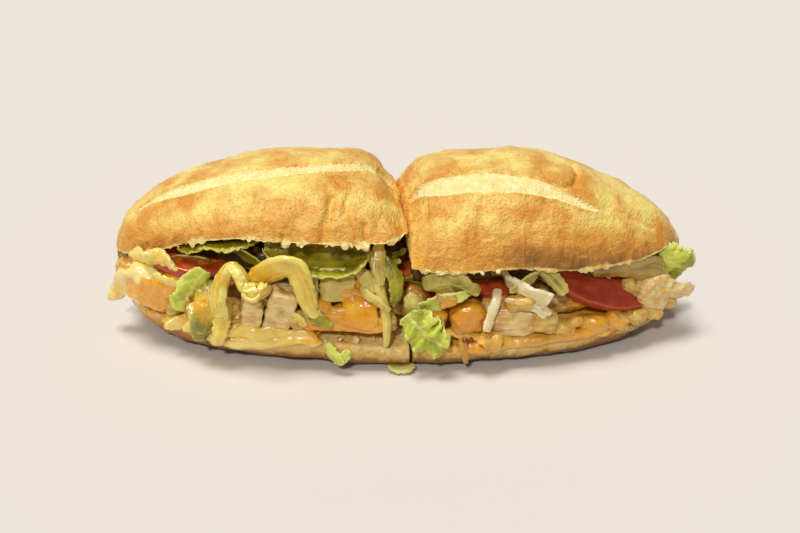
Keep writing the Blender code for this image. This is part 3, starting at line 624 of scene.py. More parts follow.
# height of the crust and crumb over the smooth form, in mm
def crustRelief(half, at, col, seed):
    points, outer, top, slash = at.points, at.outer, at.top, ramp(at.slashInside, -0.3, 0.3)
    relief = outer * (0.9 * lumps(points, 19.0, seed + 11) + 0.42 * at.rough + 0.17 * at.fine)
    relief += outer * 0.12 * lumps(points, 1.1, seed + 12)
    folds = lumps(points, (5.0, 40.0, 34.0), seed + 21) + 0.5 * lumps(points, (2.6, 30.0, 26.0), seed + 22)
    front = ramp(-at.behind, 0.1, 0.7)
    relief += outer * top * 0.3 * folds * front
    where = 0.25 + 0.75 * ramp(lumps(points, (16, 16, 12), seed + 25), -0.35, 0.35)
    relief += outer * top * (1 - slash) * 0.6 * at.wrinkles * where * (0.45 + 0.55 * front)
    relief -= outer * top * (1 - slash) * 0.5 * at.pits
    relief += slash * (-0.95 + 0.12 * lumps(points, 1.8, seed + 31)) + 0.9 * at.upperRim + 0.7 * at.lowerRim
    relief -= 0.35 * at.groove
    relief -= top * 1.5 * creaseDepth(col.s, at.scaled, half["creases"], seed)
    holes = 0.5 * ramp(lumps(points, 1.7, seed + 42), 0.35, 0.8)
    relief += (1 - outer) * (0.35 * layered(points, 2.6, seed + 41) - holes) * 0.8
    relief += (1 - top) * outer * 0.45 * lumps(points, (9, 12, 6), seed + 71) * ramp(at.z, 0.5, 4)
    return relief * ramp(col.depth, 1.0, 9.0)


# how brown the crust is, and where crumb shows; the brown is partly painted shade, on the lower
# front wall, towards the floor, in pits and deep under the crown, and the crust is lightened near
# the crown and on wrinkle ridges as painted light
def crustColours(half, at, col, fromLip, fromEdge, clumps, seed):
    # painted shade, partly real browning: the lower front wall, where the crust turns under, is made
    # browner, by a weight given for each half
    lowWallShade = ramp(col.lipZ + 19 - at.z, 0, 15) * ramp(-at.behind, 0.3, 0.8)
    patch = 0.55 + 0.45 * ramp(col.s, 30, 60)
    bake = 0.3 + 0.2 * lumps(at.points, (24, 18, 18), seed + 51) + 0.12 * at.rough + 0.08 * at.fine
    bake = bake + 1.25 * lowWallShade * half["lowBakeAndShade"] * patch + 0.22 * ramp(col.reach, 0.86, 1.0)
    # the slash's rims are browner; the last term is painted light that makes the crust paler near the crown
    bake = bake + 0.2 * at.upperRim + 0.4 * at.lowerRim - 0.46 * ramp(at.z - col.crown, -18, -1)
    bake = bake - 0.25 * at.dusty
    # browner towards the back; pits are darkened as painted shade and wrinkle ridges lightened as painted
    # highlight
    bake = bake + 0.22 * ramp(at.behind, 0.55, 1.0) + 0.16 * at.pits - 0.1 * at.wrinkles
    # underside: partly real browning, partly painted shade that darkens it towards the floor; at the back
    # it grows darker towards the bottom
    bottomBakeAndShade = 0.6 + 0.14 * at.rough + 0.4 * ramp(13 - at.z, 0, 11)
    atBack = ramp(at.behind, 0.2, 0.75)
    bottomBakeAndShade = bottomBakeAndShade * (1 - atBack) + (bake + 0.24 * ramp(splitHeight - at.z, 2, 30)) * atBack
    bake = np.where(at.top > 0, bake, bottomBakeAndShade)
    # inside the opening the crust value is the darkest brown, which shows as painted shade where crumb
    # gives way
    bake = np.where(at.outer > 0, bake, 1.0)

    # crumb lines the opening, but under the crown it gives way to that brown from a few mm in from the lip:
    # painted shade
    crumb = (1 - at.outer) * (1 - 0.8 * at.top * ramp(fromLip, 4, 14))
    crumb = np.maximum(crumb, ramp(0.5 + (0.5 + 1.2 * clumps) * (0.6 + at.tearing) - fromLip, 0, 0.5))
    crumbWide = 6.5 - 4.5 * ramp(col.s, 70, 118)
    crumb = np.maximum(crumb, 0.62 * ramp(crumbWide + 1.2 * at.tearing - fromEdge, 0, 1.2))
    crumb = np.maximum(crumb, ramp(1.4 + 1.2 * at.tearing - fromEdge, 0, 0.8))
    return bake, crumb


# rings from the crust to the middle of the cut face, pinched at the top and torn below, and
# their values
def cutFace(half, edge, middle, rough, counts, seed):
    rings, values = [], []
    for k in range(counts["cutRings"], 0, -1):
        t = k / counts["cutRings"]
        ring = edge * (1 - t) + middle * t
        pinched = ramp(ring[:, 2], 40, 62)
        dip = 0.5 + 0.45 * layered(ring, 3.0, seed + 61) - 0.9 * ramp(lumps(ring, 2.0, seed + 62), 0.3, 0.8)
        ring[:, 0] += half["side"] * np.maximum(0, 0.6 - dip) * ramp(t, 0, 0.2)
        ring[:, 0] -= half["side"] * cutLook["bulge"] * pinched * math.sqrt(1 - (1 - t) ** 2)
        ring = (ring + ring[::-1]) / 2 if k == counts["cutRings"] else ring
        torn = 1 - pinched * (1 - ramp(t + 0.25 * lumps(ring, 4.0, seed + 63), 0.5, 0.9))
        rings.append(ring)
        values.append(np.stack([0.35 + 0.2 * rough, 0 * torn - 3, torn, 0 * torn], -1))
    return np.array(rings), values


def breadHalf(name, half, counts, seed):
    straight = np.linspace(0, 0.9, counts["stations"])
    tip = 0.9 + 0.0994 * np.sin(np.linspace(0, math.pi / 2, counts["tipStations"]))[1:]
    sec = Section(half, np.concatenate([straight, tip]) * half["length"])
    values = {key: value for key, value in vars(sec).items() if np.ndim(value) == 1}
    col = SimpleNamespace(**{key: value[:, None] for key, value in values.items()})
    outline, runTop, runBottom = breadOutline(sec, col, counts)
    at = crustPlaces(half, sec, col, outline, counts, seed)

    across = np.gradient(at.points, axis=0)
    around = np.roll(at.points, -1, axis=1) - np.roll(at.points, 1, axis=1)
    normal = unit(np.cross(around, across) * half["side"])
    nTop, nBottom, size = counts["topPoints"], counts["bottomPoints"], outline.shape[1]
    if np.mean(normal[: counts["stations"], nTop // 2, 2]) < 0:
        normal = -normal
    points = at.points + normal * crustRelief(half, at, col, seed)[..., None]

    lipShare = np.full(size, 9.0)
    lipShare[:nTop] = ((np.arange(nTop) + 0.5) / nTop) ** counts["lipBias"]
    lipShare[size - nTop:] = lipShare[:nTop][::-1]
    fromLip = lipShare * runTop
    fromEdge = np.abs(np.arange(size) + 0.5 - nTop - nBottom) * runBottom / nBottom
    clumps = ramp(lumps(points, (9, 60, 60), seed + 7), -0.3, 0.4)
    solid = ramp(col.depth, 3, 14)
    lipTear = (3.2 * clumps * np.maximum(0, at.tearing - 0.1) + 0.35 * at.tearing) * solid
    points[..., 2] -= np.exp(-fromLip / 1.4) * np.where(fromLip < 8, lipTear, 0)
    points[..., 2] += np.exp(-fromEdge / 1.2) * 0.5 * at.tearing * solid

    at.points = points
    bake, crumb = crustColours(half, at, col, fromLip, fromEdge, clumps, seed)
    stain = stainAt(points, half["stains"], seed + 81)
    values = np.stack([bake, at.slashInside, crumb, stain], -1)
    middle = (points + points[:, ::-1]) / 2
    fronts, frontValues = cutFace(half, points[0], middle[0], at.rough[0], counts, seed)
    shares = [k / counts["tipRings"] for k in range(1, counts["tipRings"] + 1)]
    ends = [points[-1] * (1 - share) + middle[-1] * share for share in shares]
    rings = np.concatenate([fronts, points, np.array(ends)])
    values = np.concatenate([frontValues, values, np.repeat(values[-1:], counts["tipRings"], axis=0)])
    roll = meshObject(name, rings, rowFaces(len(rings), size, True), bake=values[..., 0],
        slash=values[..., 1], crumb=values[..., 2], stain=values[..., 3])
    tidyMesh(roll)
    finishPiece(roll, breadMaterial, "bread", name.replace("roll", "bread_").lower())


breadHalf("rollLeft", leftHalf, breadMesh, 100)
breadHalf("rollRight", rightHalf, breadMesh, 200)
print("both halves of the roll are baked")


# Materials of the filling

def makeLeafMaterial(name, light, dark, vein, rim, rough=0.34, coat=0.25, sauce=0.05, veinShare=0.6,
        rimShare=0.7):
    material, tree, shader = newMaterial(
        name, Subsurface_Weight=0.18, Subsurface_Radius=(0.6, 0.6, 0.12), Subsurface_Scale=0.002,
        Roughness=rough, Coat_Weight=coat, Coat_Roughness=0.15)
    colour = addDrift(tree, light, dark, scale=110.0, specks=0.35)
    for layer, share, over in (("vein", veinShare, vein), ("rim", rimShare, rim)):
        colour = addMix(tree, addMath(tree, "MULTIPLY", addAttribute(tree, layer), share), colour,
            linear(over))
    amount = addMath(tree, "ADD", addAttribute(tree, "stain"), sauce, True)
    feed(tree, addSauce(tree, colour, (246, 186, 40), amount, 120.0)["Colour"], shader["Base Color"])
    addGrain(tree, shader, scale=700.0, dimples=0.6, strength=0.7, distance=0.4)
    return material


def makeMeatMaterial(name, light, dark, fibre, sauceColour, sauce, rough=0.36):
    material, tree, shader = newMaterial(
        name, Subsurface_Weight=0.12, Subsurface_Radius=(0.6, 0.42, 0.15), Subsurface_Scale=0.002,
        Coat_Roughness=0.12)
    stretch = addNode(tree, "ShaderNodeMapping", dict(Vector=objectPlace(tree), Scale=(0.25, 1.0, 1.0),
        Rotation=(0.0, math.radians(60), math.radians(10))))
    streaks = addRange(tree, addNoise(tree, stretch.outputs["Vector"], 420.0, 5.0), 0.38, 0.66)
    drift = addDrift(tree, light, dark, scale=170.0, specks=0.6)
    flesh = addMix(tree, addMath(tree, "MULTIPLY", streaks, 0.6), drift, linear(fibre))
    amount = addMath(tree, "ADD", addAttribute(tree, "stain"), sauce, True)
    sauced = addSauce(tree, flesh, sauceColour, amount, 80.0)
    feed(tree, sauced["Colour"], shader["Base Color"])
    feed(tree, addRange(tree, sauced["Mask"], 0.0, 1.0, rough, 0.1), shader["Roughness"])
    feed(tree, addRange(tree, sauced["Mask"], 0.0, 1.0, 0.4, 1.0), shader["Coat Weight"])
    addBump(tree, shader, streaks, strength=0.9, distance=0.9)
    return material


def makeWetMaterial(name, light, dark, over, overShare=0.3, overScale=70.0, rough=0.14, coat=0.5, soft=0.15,
        bump=0.7, specks=0.25):
    material, tree, shader = newMaterial(
        name, Subsurface_Weight=soft, Subsurface_Radius=(0.6, 0.42, 0.1), Subsurface_Scale=0.002,
        Roughness=rough, Coat_Weight=coat, Coat_Roughness=0.05)
    amount = addMath(tree, "ADD", addAttribute(tree, "stain"), overShare, True)
    drift = addDrift(tree, light, dark, scale=80.0, specks=specks)
    sauced = addSauce(tree, drift, over, amount, overScale)
    feed(tree, sauced["Colour"], shader["Base Color"])
    addGrain(tree, shader, scale=340.0, dimples=0.2, strength=bump, distance=0.6)
    return material


def makeTomatoMaterial(name, flesh, deep, gel, skin, rough):
    material, tree, shader = newMaterial(
        name, Subsurface_Weight=0.2, Subsurface_Radius=(1.0, 0.25, 0.1), Subsurface_Scale=0.003,
        Roughness=rough, Coat_Weight=0.3, Coat_Roughness=0.1)
    colour = addDrift(tree, flesh, deep, scale=130.0, specks=0.2)
    for layer, over in (("gel", gel), ("skin", skin)):
        colour = addMix(tree, addAttribute(tree, layer), colour, linear(over))
    feed(tree, colour, shader["Base Color"])
    addGrain(tree, shader, scale=380.0, dimples=0.3, strength=0.2, distance=0.25)
    return material


greenLeaf = makeLeafMaterial("greenLeaf", light=(176, 164, 26), dark=(96, 86, 2), vein=(200, 190, 60),
    rim=(232, 224, 90), veinShare=0.3)
brightLeaf = makeLeafMaterial("brightLeaf", light=(224, 228, 84), dark=(160, 168, 34), vein=(242, 244, 140),
    rim=(246, 246, 150), rough=0.46, coat=0.1)
paleLeaf = makeLeafMaterial("paleLeaf", light=(250, 220, 82), dark=(224, 172, 30), vein=(255, 238, 124),
    rim=(255, 236, 128), rough=0.16, coat=0.8, veinShare=0.45)
dullLeaf = makeLeafMaterial("dullLeaf", light=(206, 190, 84), dark=(150, 126, 32), vein=(226, 214, 130),
    rim=(232, 220, 130), rough=0.26)
oliveLeaf = makeLeafMaterial("oliveLeaf", light=(190, 154, 50), dark=(132, 96, 16), vein=(196, 166, 80),
    rim=(214, 190, 100), rough=0.22, coat=0.5)
# the lettuce cores' colour, nearly black-brown: painted shade deep in the opening
paintedShadeLeaf = makeLeafMaterial("paintedShadeLeaf", light=(108, 78, 8), dark=(58, 34, 0), vein=(120, 92, 20),
    rim=(130, 104, 20), rough=0.6)
tanLeaf = makeLeafMaterial("tanLeaf", light=(228, 204, 96), dark=(188, 154, 50), vein=(244, 224, 124),
    rim=(250, 216, 120), sauce=0.15, rough=0.2, coat=0.5)
creamLeaf = makeLeafMaterial("creamLeaf", light=(252, 234, 176), dark=(230, 196, 124), vein=(255, 246, 210),
    rim=(255, 244, 204))
saucyMeat = makeWetMaterial("saucyMeat", light=(255, 240, 160), dark=(250, 212, 104), over=(246, 172, 36),
    overShare=0.0, rough=0.12, coat=1.0, bump=0.4, specks=0.5, soft=0.04)
paleMeat = makeMeatMaterial("paleMeat", light=(255, 222, 142), dark=(226, 168, 80), fibre=(255, 238, 180),
    sauceColour=(242, 172, 40), sauce=0.1, rough=0.3)
heapMeat = makeMeatMaterial("heapMeat", light=(244, 200, 96), dark=(184, 126, 34), fibre=(252, 222, 128),
    sauceColour=(240, 168, 28), sauce=0.3, rough=0.18)
darkMeat = makeWetMaterial("darkMeat", light=(234, 184, 84), dark=(184, 124, 36), over=(226, 150, 34),
    overShare=0.15, rough=0.16, coat=0.8, bump=0.8, specks=0.6, soft=0.04)
squareLeaf = makeLeafMaterial("squareLeaf", light=(216, 188, 84), dark=(176, 142, 40), vein=(226, 204, 110),
    rim=(240, 222, 130), rough=0.18, coat=0.6, rimShare=0.9)
dryCrumb = makeMeatMaterial("dryCrumb", light=(255, 234, 150), dark=(240, 196, 96), fibre=(255, 244, 180),
    sauceColour=(246, 190, 90), sauce=0.0)
sauceFinish = makeWetMaterial("sauce", light=(246, 176, 26), dark=(216, 124, 6), over=(255, 206, 74),
    overShare=0.3, overScale=130.0, rough=0.1, coat=0.9, soft=0.06)
dripFinish = makeWetMaterial("sauceDrip", light=(222, 158, 44), dark=(192, 120, 20), over=(170, 90, 10),
    overShare=0.1)
beadFinish = makeWetMaterial("sauceBead", light=(160, 60, 6), dark=(110, 34, 0), over=(190, 90, 10),
    overShare=0.1, rough=0.08)
cheeseFinish = makeWetMaterial("meltedCheese", light=(255, 234, 142), dark=(250, 208, 94),
    over=(248, 184, 58), overShare=0.15, rough=0.16, coat=0.5, soft=0.4)
deepCheese = makeWetMaterial("deepCheese", light=(240, 194, 92), dark=(212, 156, 54), over=(240, 172, 50),
    overShare=0.2, rough=0.22, coat=0.5, soft=0.4)
tomatoFinish = makeTomatoMaterial("tomatoSlice", flesh=(202, 88, 34), deep=(160, 52, 18),
    gel=(222, 112, 36), skin=(186, 62, 26), rough=0.14)
dullTomato = makeTomatoMaterial("tomatoWedge", flesh=(186, 70, 38), deep=(156, 48, 24), gel=(196, 92, 46),
    skin=(172, 56, 28), rough=0.3)
print("materials of the filling are made")


# Leaves, strips and ribbons: thin closed sheets that follow a path

def curveThrough(values, t):
    if np.ndim(values) == 0:
        return np.full_like(t, values)
    values = np.asarray(values, float)
    knots = np.linspace(0, 1, len(values))
    if values.ndim == 1:
        return smoothCurve(list(zip(knots, values)), t)
    return np.stack([smoothCurve(list(zip(knots, values[:, k])), t) for k in range(values.shape[1])], -1)


# what a sheet is unless its own dictionary says otherwise
sheetLook = dict(
    steps=90, across=28, twist=0, rounding=0.5, wave=0.0, waves=2.0, ragged=0.5, cup=0.0, crumple=0.5,
    crumpleSize=6.0, crease=0.0, creaseSize=5.0, frill=0.0, veins="streaks", branches=7, thick=1.2,
    ribHeight=0.25, stains=())


# grid of points of a sheet, with the share along and the place across, -1 to 1
def sheetPoints(look, seed):
    t, v = np.linspace(0, 1, look.steps + 1), np.linspace(-1, 1, look.across + 1)
    side = look.side if np.ndim(look.side) > 1 else [look.side, look.side]
    centre = curveThrough(look.path, t)
    before, after = np.maximum(0, t - 0.02), np.minimum(1, t + 0.02)
    ahead = curveThrough(look.path, after) - curveThrough(look.path, before)
    out = unit(curveThrough(side, t))
    normal = unit(np.cross(ahead, out))
    out = unit(np.cross(normal, ahead))
    twist = (np.radians(look.twist) * (t - 0.5))[:, None]
    out, normal = out * np.cos(twist) + normal * np.sin(twist), normal * np.cos(twist) - out * np.sin(twist)
    tt, vv = np.meshgrid(t, v, indexing="ij")
    ends = np.sqrt(np.clip(1 - (np.maximum(0, np.abs(2 * tt - 1) - 1 + 0.16) / 0.16) ** 2, 0, 1))
    half = (curveThrough(look.width, t) / 2)[:, None] * (1 - look.rounding + look.rounding * ends)
    wave = look.wave * vv * np.sin(2 * math.pi * (look.waves * tt) + 1.3 * vv)
    flat = np.stack([tt * 10, vv * 3, 0 * tt], -1)
    ragged = look.ragged * (layered(flat, 0.9, seed + 1) + 0.6 * lumps(flat, 0.25, seed + 2))
    lift = look.cup * (1 - vv**2) + wave
    spread = vv * half + ragged * np.sign(vv) * np.abs(vv) ** 5
    points = centre[:, None] + out[:, None] * spread[..., None] + normal[:, None] * lift[..., None]
    rise = look.crumple * layered(points, look.crumpleSize, seed + 3)
    rise += look.crease * (np.abs(lumps(points, look.creaseSize, seed + 5)) - 0.3)
    rimWave = look.frill * np.abs(vv) ** 3 * lumps(flat, 0.35, seed + 4)
    return points + normal[:, None] * (rise + rimWave)[..., None], tt, vv


# height and paleness of ribs, 0 to 1
def veinPattern(look, tt, vv, seed):
    if look.veins == "leaf":
        stem = np.exp(-(vv / (0.05 + 0.05 * (1 - tt))) ** 2)
        branch = tt * look.branches - np.abs(vv) * 1.1 + 0.12 * np.sign(vv)
        side = np.exp(-((branch - np.floor(branch) - 0.5) / 0.09) ** 2) * np.clip(1.1 - np.abs(vv), 0, 1)
        return np.maximum(stem, 0.75 * side)
    place = np.stack([vv * 5.0, tt * 1.4, 0 * tt], -1)
    finer = 0.3 * lumps(place * (3, 2, 1), 1.0, seed + 9)
    return np.clip(0.5 + 0.7 * lumps(place, 1.0, seed + 8) + finer, 0, 1)


# closed thin sheet; without a material it is left for further work
def leafPiece(name, look, material=None, slot=None, node=None, seed=1):
    look = SimpleNamespace(**{**sheetLook, **look})
    points, tt, vv = sheetPoints(look, seed)
    vein = veinPattern(look, tt, vv, seed)
    normal = unit(np.cross(np.gradient(points, axis=0), np.gradient(points, axis=1)))
    rim = np.clip(np.maximum(np.abs(vv) ** 6, np.abs(2 * tt - 1) ** 14), 0, 1)
    thick = (look.thick / 2 * (1 - 0.72 * rim) * (1 + look.ribHeight * vein))[..., None]
    stain = stainAt(points, look.stains, seed)
    piece = meshObject(name, [points + normal * thick, points - normal * thick], sheetFaces(*tt.shape),
        vein=[vein, vein], rim=[rim, rim], stain=[stain, stain])
    tidyMesh(piece)
    if material:
        finishPiece(piece, material, slot, *([node] if node else []))
    return piece


inward = (0, 0.96, -0.28)
leafData = [
    ("leaf_lip_left", greenLeaf, "lettuce",
        dict(path=[(-58, -29, 56.5), (-46, -31, 54), (-34, -32, 52), (-21, -32, 53), (-13, -31, 56)],
        width=[8, 17, 21, 18, 7], side=(0, 0.93, 0.36), thick=1.3, cup=-3, wave=0.8, crumple=0.6,
        veins="leaf", branches=5, frill=1.2, ribHeight=0.15)),
    ("leaf_tip_left", greenLeaf, "lettuce",
        dict(path=[(-96, -18, 50), (-84, -22, 52.5), (-72, -25, 55), (-61, -27, 56.5)],
        width=[8, 15, 17, 8], side=inward, thick=1.2, cup=1.2, wave=0.8, crumple=0.7, veins="leaf",
        frill=1.2)),
    ("leaf_green_left", brightLeaf, "lettuce",
        dict(path=[(-84, -29, 46), (-90, -30.5, 38), (-94, -29, 30), (-95, -29.5, 25)],
        width=[7, 12, 12, 8], side=(1, 0.2, 0), thick=1.2, cup=1.6, wave=1.0, veins="leaf", branches=4,
        rounding=0.2, crumple=0.6, crease=1.2, stains=[((-87, -30, 31), 9, 0.6)])),
    ("strip_left", greenLeaf, "lettuce",
        dict(path=[(-83, -29, 40), (-84, -35, 34), (-85, -37.5, 26), (-87, -36.5, 19), (-87.5, -35.5, 13)],
        width=[7, 9, 9.5, 9, 5], side=(1, 0, 0), thick=1.2, cup=1.2, wave=0.4, crumple=0.6, crease=0.6,
        stains=[((-83, -36, 31), 9, 0.6)])),
    ("strip_yellow_left", paleLeaf, "pale_lettuce",
        dict(path=[(-75, -33, 34), (-76.5, -38, 27), (-78, -39.5, 20), (-80, -38, 12.5)],
        width=[5, 7, 7, 5], side=(1, 0, 0), thick=1.1, cup=0.8, wave=0.4)),
    ("curl_left", paleLeaf, "pale_lettuce",
        dict(path=[(-77, -40, 27), (-78, -40.5, 37), (-76, -38.5, 46), (-71.5, -37.5, 51.5), (-67, -40, 50),
        (-65, -41.5, 45), (-60.5, -42, 42.5), (-56, -41, 45)], width=[8, 7.5, 7, 7.5, 8, 8, 8.5, 7],
        side=[(0.9, -0.3, 0), (0.8, -0.5, 0), (0.6, -0.7, 0.2), (0, -0.9, 0.4), (-0.2, -0.9, 0.5),
        (-0.1, -0.8, 0.6), (0, -0.6, 0.8), (0, -0.6, 0.8)], thick=4.6, cup=1.0, steps=150, crumple=0.25,
        crumpleSize=5.0, frill=0.3, ribHeight=0.22, ragged=0.25,
        stains=[((-74, -40, 47), 6, 0.45), ((-60, -42, 43), 5, 0.3)])),
    ("arch_left", paleLeaf, "pale_lettuce",
        dict(path=[(-62, -33, 40), (-57, -36, 47.5), (-50, -38, 52), (-44, -39, 51.5), (-41, -40.5, 45),
        (-39, -41, 37), (-36, -41.5, 29)], width=[10, 13, 14, 13, 10, 8, 4],
        side=[(0, 0.5, -0.8), (0, 0.4, -0.9), (0, 0.4, -0.9), (-0.5, 0.4, -0.7), (-0.9, 0.2, -0.3),
        (-1, 0.1, 0), (-1, 0, 0)], thick=2.8, cup=-1.2, steps=130, crumple=0.25, ribHeight=0.3, frill=0.4,
        ragged=0.25, stains=[((-58, -36, 50), 9, 0.6), ((-52, -38, 53), 6, 0.4)])),
    ("rib_left", dullLeaf, "pale_lettuce", dict(path=[(-37, -33, 49), (-37.5, -35.5, 42), (-37, -37, 34)],
        width=[5, 5, 4], side=(1, 0, 0), thick=2.2, cup=0.6, steps=60, across=14, crumple=0.3,
        crumpleSize=2.0)),
    ("square_left", squareLeaf, "pale_lettuce",
        dict(path=[(-27, -33.5, 49), (-27, -35.5, 42), (-27.5, -36.5, 34)], width=[15, 15, 13],
        side=(1, 0.1, 0), thick=2.0, cup=0.8, wave=0.5, steps=60, rounding=0.25, crumple=0.5)),
    ("blade_left", greenLeaf, "lettuce",
        dict(path=[(-6, -32, 53), (-2.5, -36, 47), (-1.5, -38.5, 40), (-3, -40, 34)],
        width=[2, 6.5, 6, 1.5], side=(1, 0.4, 0), thick=1.1, cup=1, crumple=0.5, veins="leaf")),
    ("strand_left", tanLeaf, "lettuce",
        dict(path=[(-13, -29, 54), (-10, -33, 47), (-8, -37.5, 38), (-5.8, -41, 28), (-6, -42.5, 15)],
        width=[3, 4.5, 4.5, 4, 2.5], side=(1, 0.2, 0), thick=1.6, cup=0.5, across=14, crumple=0.5)),
    ("drape_left", sauceFinish, "sauce",
        dict(path=[(-20, -29, 44), (-19, -32, 39), (-18, -36.5, 33), (-17, -38.5, 29), (-18.5, -40.5, 23)],
        width=[8, 11, 13, 16, 20], side=[(1, 0.3, 0.1), (1, -0.1, -0.1), (1, 0.1, 0)], thick=2.4, cup=1.6,
        wave=1.2, waves=1.5, crumple=0.6, crumpleSize=7.0, ragged=0.4)),
    ("sliver_left", brightLeaf, "lettuce",
        dict(path=[(-31, -41.5, 16), (-29, -43.2, 11), (-25, -43.6, 8.5), (-22.5, -43.2, 13)],
        width=[3, 5, 5, 3], side=(1, 0, 0.6), thick=0.9, cup=0.5, across=16, crumple=0.3)),
    ("leaf_crumpled_right", brightLeaf, "lettuce",
        dict(path=[(3.5, -41.5, 31), (8, -43.5, 26), (11, -43, 22), (15, -44, 19), (21, -44.6, 17)],
        width=[10, 16, 18, 16, 8], side=[(0.5, 0.1, 1), (0.6, 0, 0.8)], thick=1.0, cup=2.0, wave=2.6,
        waves=3.4, veins="leaf", branches=9, crumple=0.9, crumpleSize=4.5, frill=1.4, ribHeight=0.2,
        crease=2.0, creaseSize=8)),
    ("leaf_round_right", dullLeaf, "lettuce",
        dict(path=[(10.5, -35, 41), (15, -35.5, 43), (22, -36, 44), (29, -37, 41.5), (34, -38, 39.5)],
        width=[7, 13, 14, 9, 3], side=(0.1, 0.25, -1), thick=1.3, cup=-2, wave=0.8, veins="leaf",
        branches=6, crumple=0.6, ribHeight=0.4)),
    ("leaf_fold_right", brightLeaf, "lettuce",
        dict(path=[(8, -38, 31), (15, -39, 34), (22, -39.5, 37), (31, -39, 39)], width=[5, 7, 6, 2],
        side=(0.2, 0.2, -1), thick=1.1, cup=0.8, wave=0.6, across=16, crumple=0.4)),
    ("onion_right", oliveLeaf, "pale_lettuce",
        dict(path=[(98, -16, 39), (106, -16.5, 37), (113, -14, 34), (118, -12, 32)], width=[5, 10, 10, 5],
        side=(0.2, 0.3, -1), thick=1.8, cup=-1.2, steps=60, crumple=0.3, ribHeight=0.1)),
    ("leaf_end_right", brightLeaf, "lettuce",
        dict(path=[(113, -8, 43), (119, -8.5, 39.5), (125, -6, 35), (128.5, -4, 32)], width=[8, 15, 17, 13],
        side=(0.3, -0.25, 1), thick=1.2, cup=2, wave=1.4, waves=2, veins="leaf", branches=8, crumple=0.8,
        frill=1.6, ribHeight=0.2, crease=1.2)),
    ("leaf_scrap", dullLeaf, "lettuce",
        dict(path=[(-5.5, -39.6, 2.2), (-1, -40.2, 1.4), (3, -40.2, 1.6), (6.5, -39.4, 2.4)],
        width=[3, 7, 7, 3], side=(0, 1, 0.12), thick=1.0, cup=0.6, steps=50, crumple=0.25))]
for number, (node, material, slot, look) in enumerate(leafData):
    leafPiece(titled(node), look, material, slot, node, 300 + 10 * number)
print("leaves and ribbons are laid")


# Lumpy bodies: rounded blocks and sheets melted into one, then roughened

# degrees about x, y and z as a matrix
def turned(angles):
    return np.array(Euler([math.radians(a) for a in angles]).to_matrix())


# cube pushed out to a rounded block; a square of 2 would be round
def blockObject(centre, size, turn, seed, square=3.2, cells=14):
    line = np.linspace(-1, 1, cells + 1)
    u, v = np.meshgrid(line, line, indexing="ij")
    sides = []
    for axis in range(3):
        for sign in (-1, 1):
            grid = [None, None, None]
            grid[axis] = np.full_like(u, sign)
            grid[(axis + 1) % 3], grid[(axis + 2) % 3] = u, v
            sides.append(np.stack(grid, -1).reshape(-1, 3))
    points = np.concatenate(sides)
    points = points / (np.abs(points) ** square).sum(-1, keepdims=True) ** (1 / square)
    points = points * (1 + 0.1 * lumps(points, 0.8, seed))[:, None]
    points = (points * np.asarray(size) / 2) @ turned(turn).T + np.array(centre, float)
    oneSide = rowFaces(cells + 1, cells + 1)
    piece = meshObject("block", points, np.concatenate([oneSide + k * (cells + 1) ** 2 for k in range(6)]))
    tidyMesh(piece, 0.00001)
    return piece


# the object's mesh with its modifiers applied
def applied(obj):
    bpy.context.view_layer.update()
    mesh = bpy.data.meshes.new_from_object(obj.evaluated_get(bpy.context.evaluated_depsgraph_get()))
    obj.modifiers.clear()
    return mesh


# one closed mesh out of overlapping pieces, which are used up
def meltTogether(name, pieces, voxel, smoothing):
    bm = bmesh.new()
    for piece in pieces:
        mesh = piece.data
        bm.from_mesh(mesh)
        bpy.data.objects.remove(piece)
        bpy.data.meshes.remove(mesh)
    rough = bpy.data.meshes.new(name)
    bm.to_mesh(rough)
    bm.free()
    obj = addObject(name, rough)
    remesh = obj.modifiers.new("melt", "REMESH")
    remesh.mode = "VOXEL"
    remesh.voxel_size = voxel * mm
    obj.modifiers.new("soften", "SMOOTH").iterations = smoothing
    obj.data = applied(obj)
    obj.data.name = name
    obj.data.shade_smooth()
    bpy.data.meshes.remove(rough)
    return obj


# moves the vertices along their normals, by an amount in mm for each of their places
def pushOut(obj, amount):
    points = meshArray(obj.data.vertices, "co") / mm - (0, yShift, 0)
    points = points + meshArray(obj.data.vertex_normals, "vector") * amount(points)[:, None]
    placeVertices(obj.data, (points + (0, yShift, 0)) * mm)


# how rough a piece of meat is unless its own dictionary says otherwise
roughLook = dict(fibre=0.3, tear=0.8, soft=0.5, fibreTurn=(0, 60, 10))


# fibres, tears and soft lumps
def roughen(obj, look, seed):
    look = {**roughLook, **look}

    def amount(points):
        local = points @ turned(look["fibreTurn"])
        fibre = lumps(local, (9, 1.6, 1.6), seed) + 0.6 * lumps(local, (6, 0.8, 0.8), seed + 1)
        tear = ramp(lumps(local, (5, 2.4, 2.4), seed + 2), 0.25, 0.7)
        move = look["fibre"] * fibre - look["tear"] * tear
        return move + look["soft"] * layered(points, 5.0, seed + 3)

    pushOut(obj, amount)


def paintStains(obj, spots, seed):
    points = meshArray(obj.data.vertices, "co") / mm - (0, yShift, 0)
    addLayer(obj.data, "stain", stainAt(points, spots, seed))


# parts are blocks, or a flake where there is just a dictionary
def meatPiece(node, parts, material, look, seed):
    pieces = [leafPiece("flake", part, seed=seed) if isinstance(part, dict)
              else blockObject(*part[:3], seed + k, *part[3:]) for k, part in enumerate(parts)]
    obj = meltTogether(titled(node), pieces, voxel=0.55, smoothing=2)
    roughen(obj, look, seed)
    paintStains(obj, look.get("stains", ()), seed)
    finishPiece(obj, material, "chicken", node)


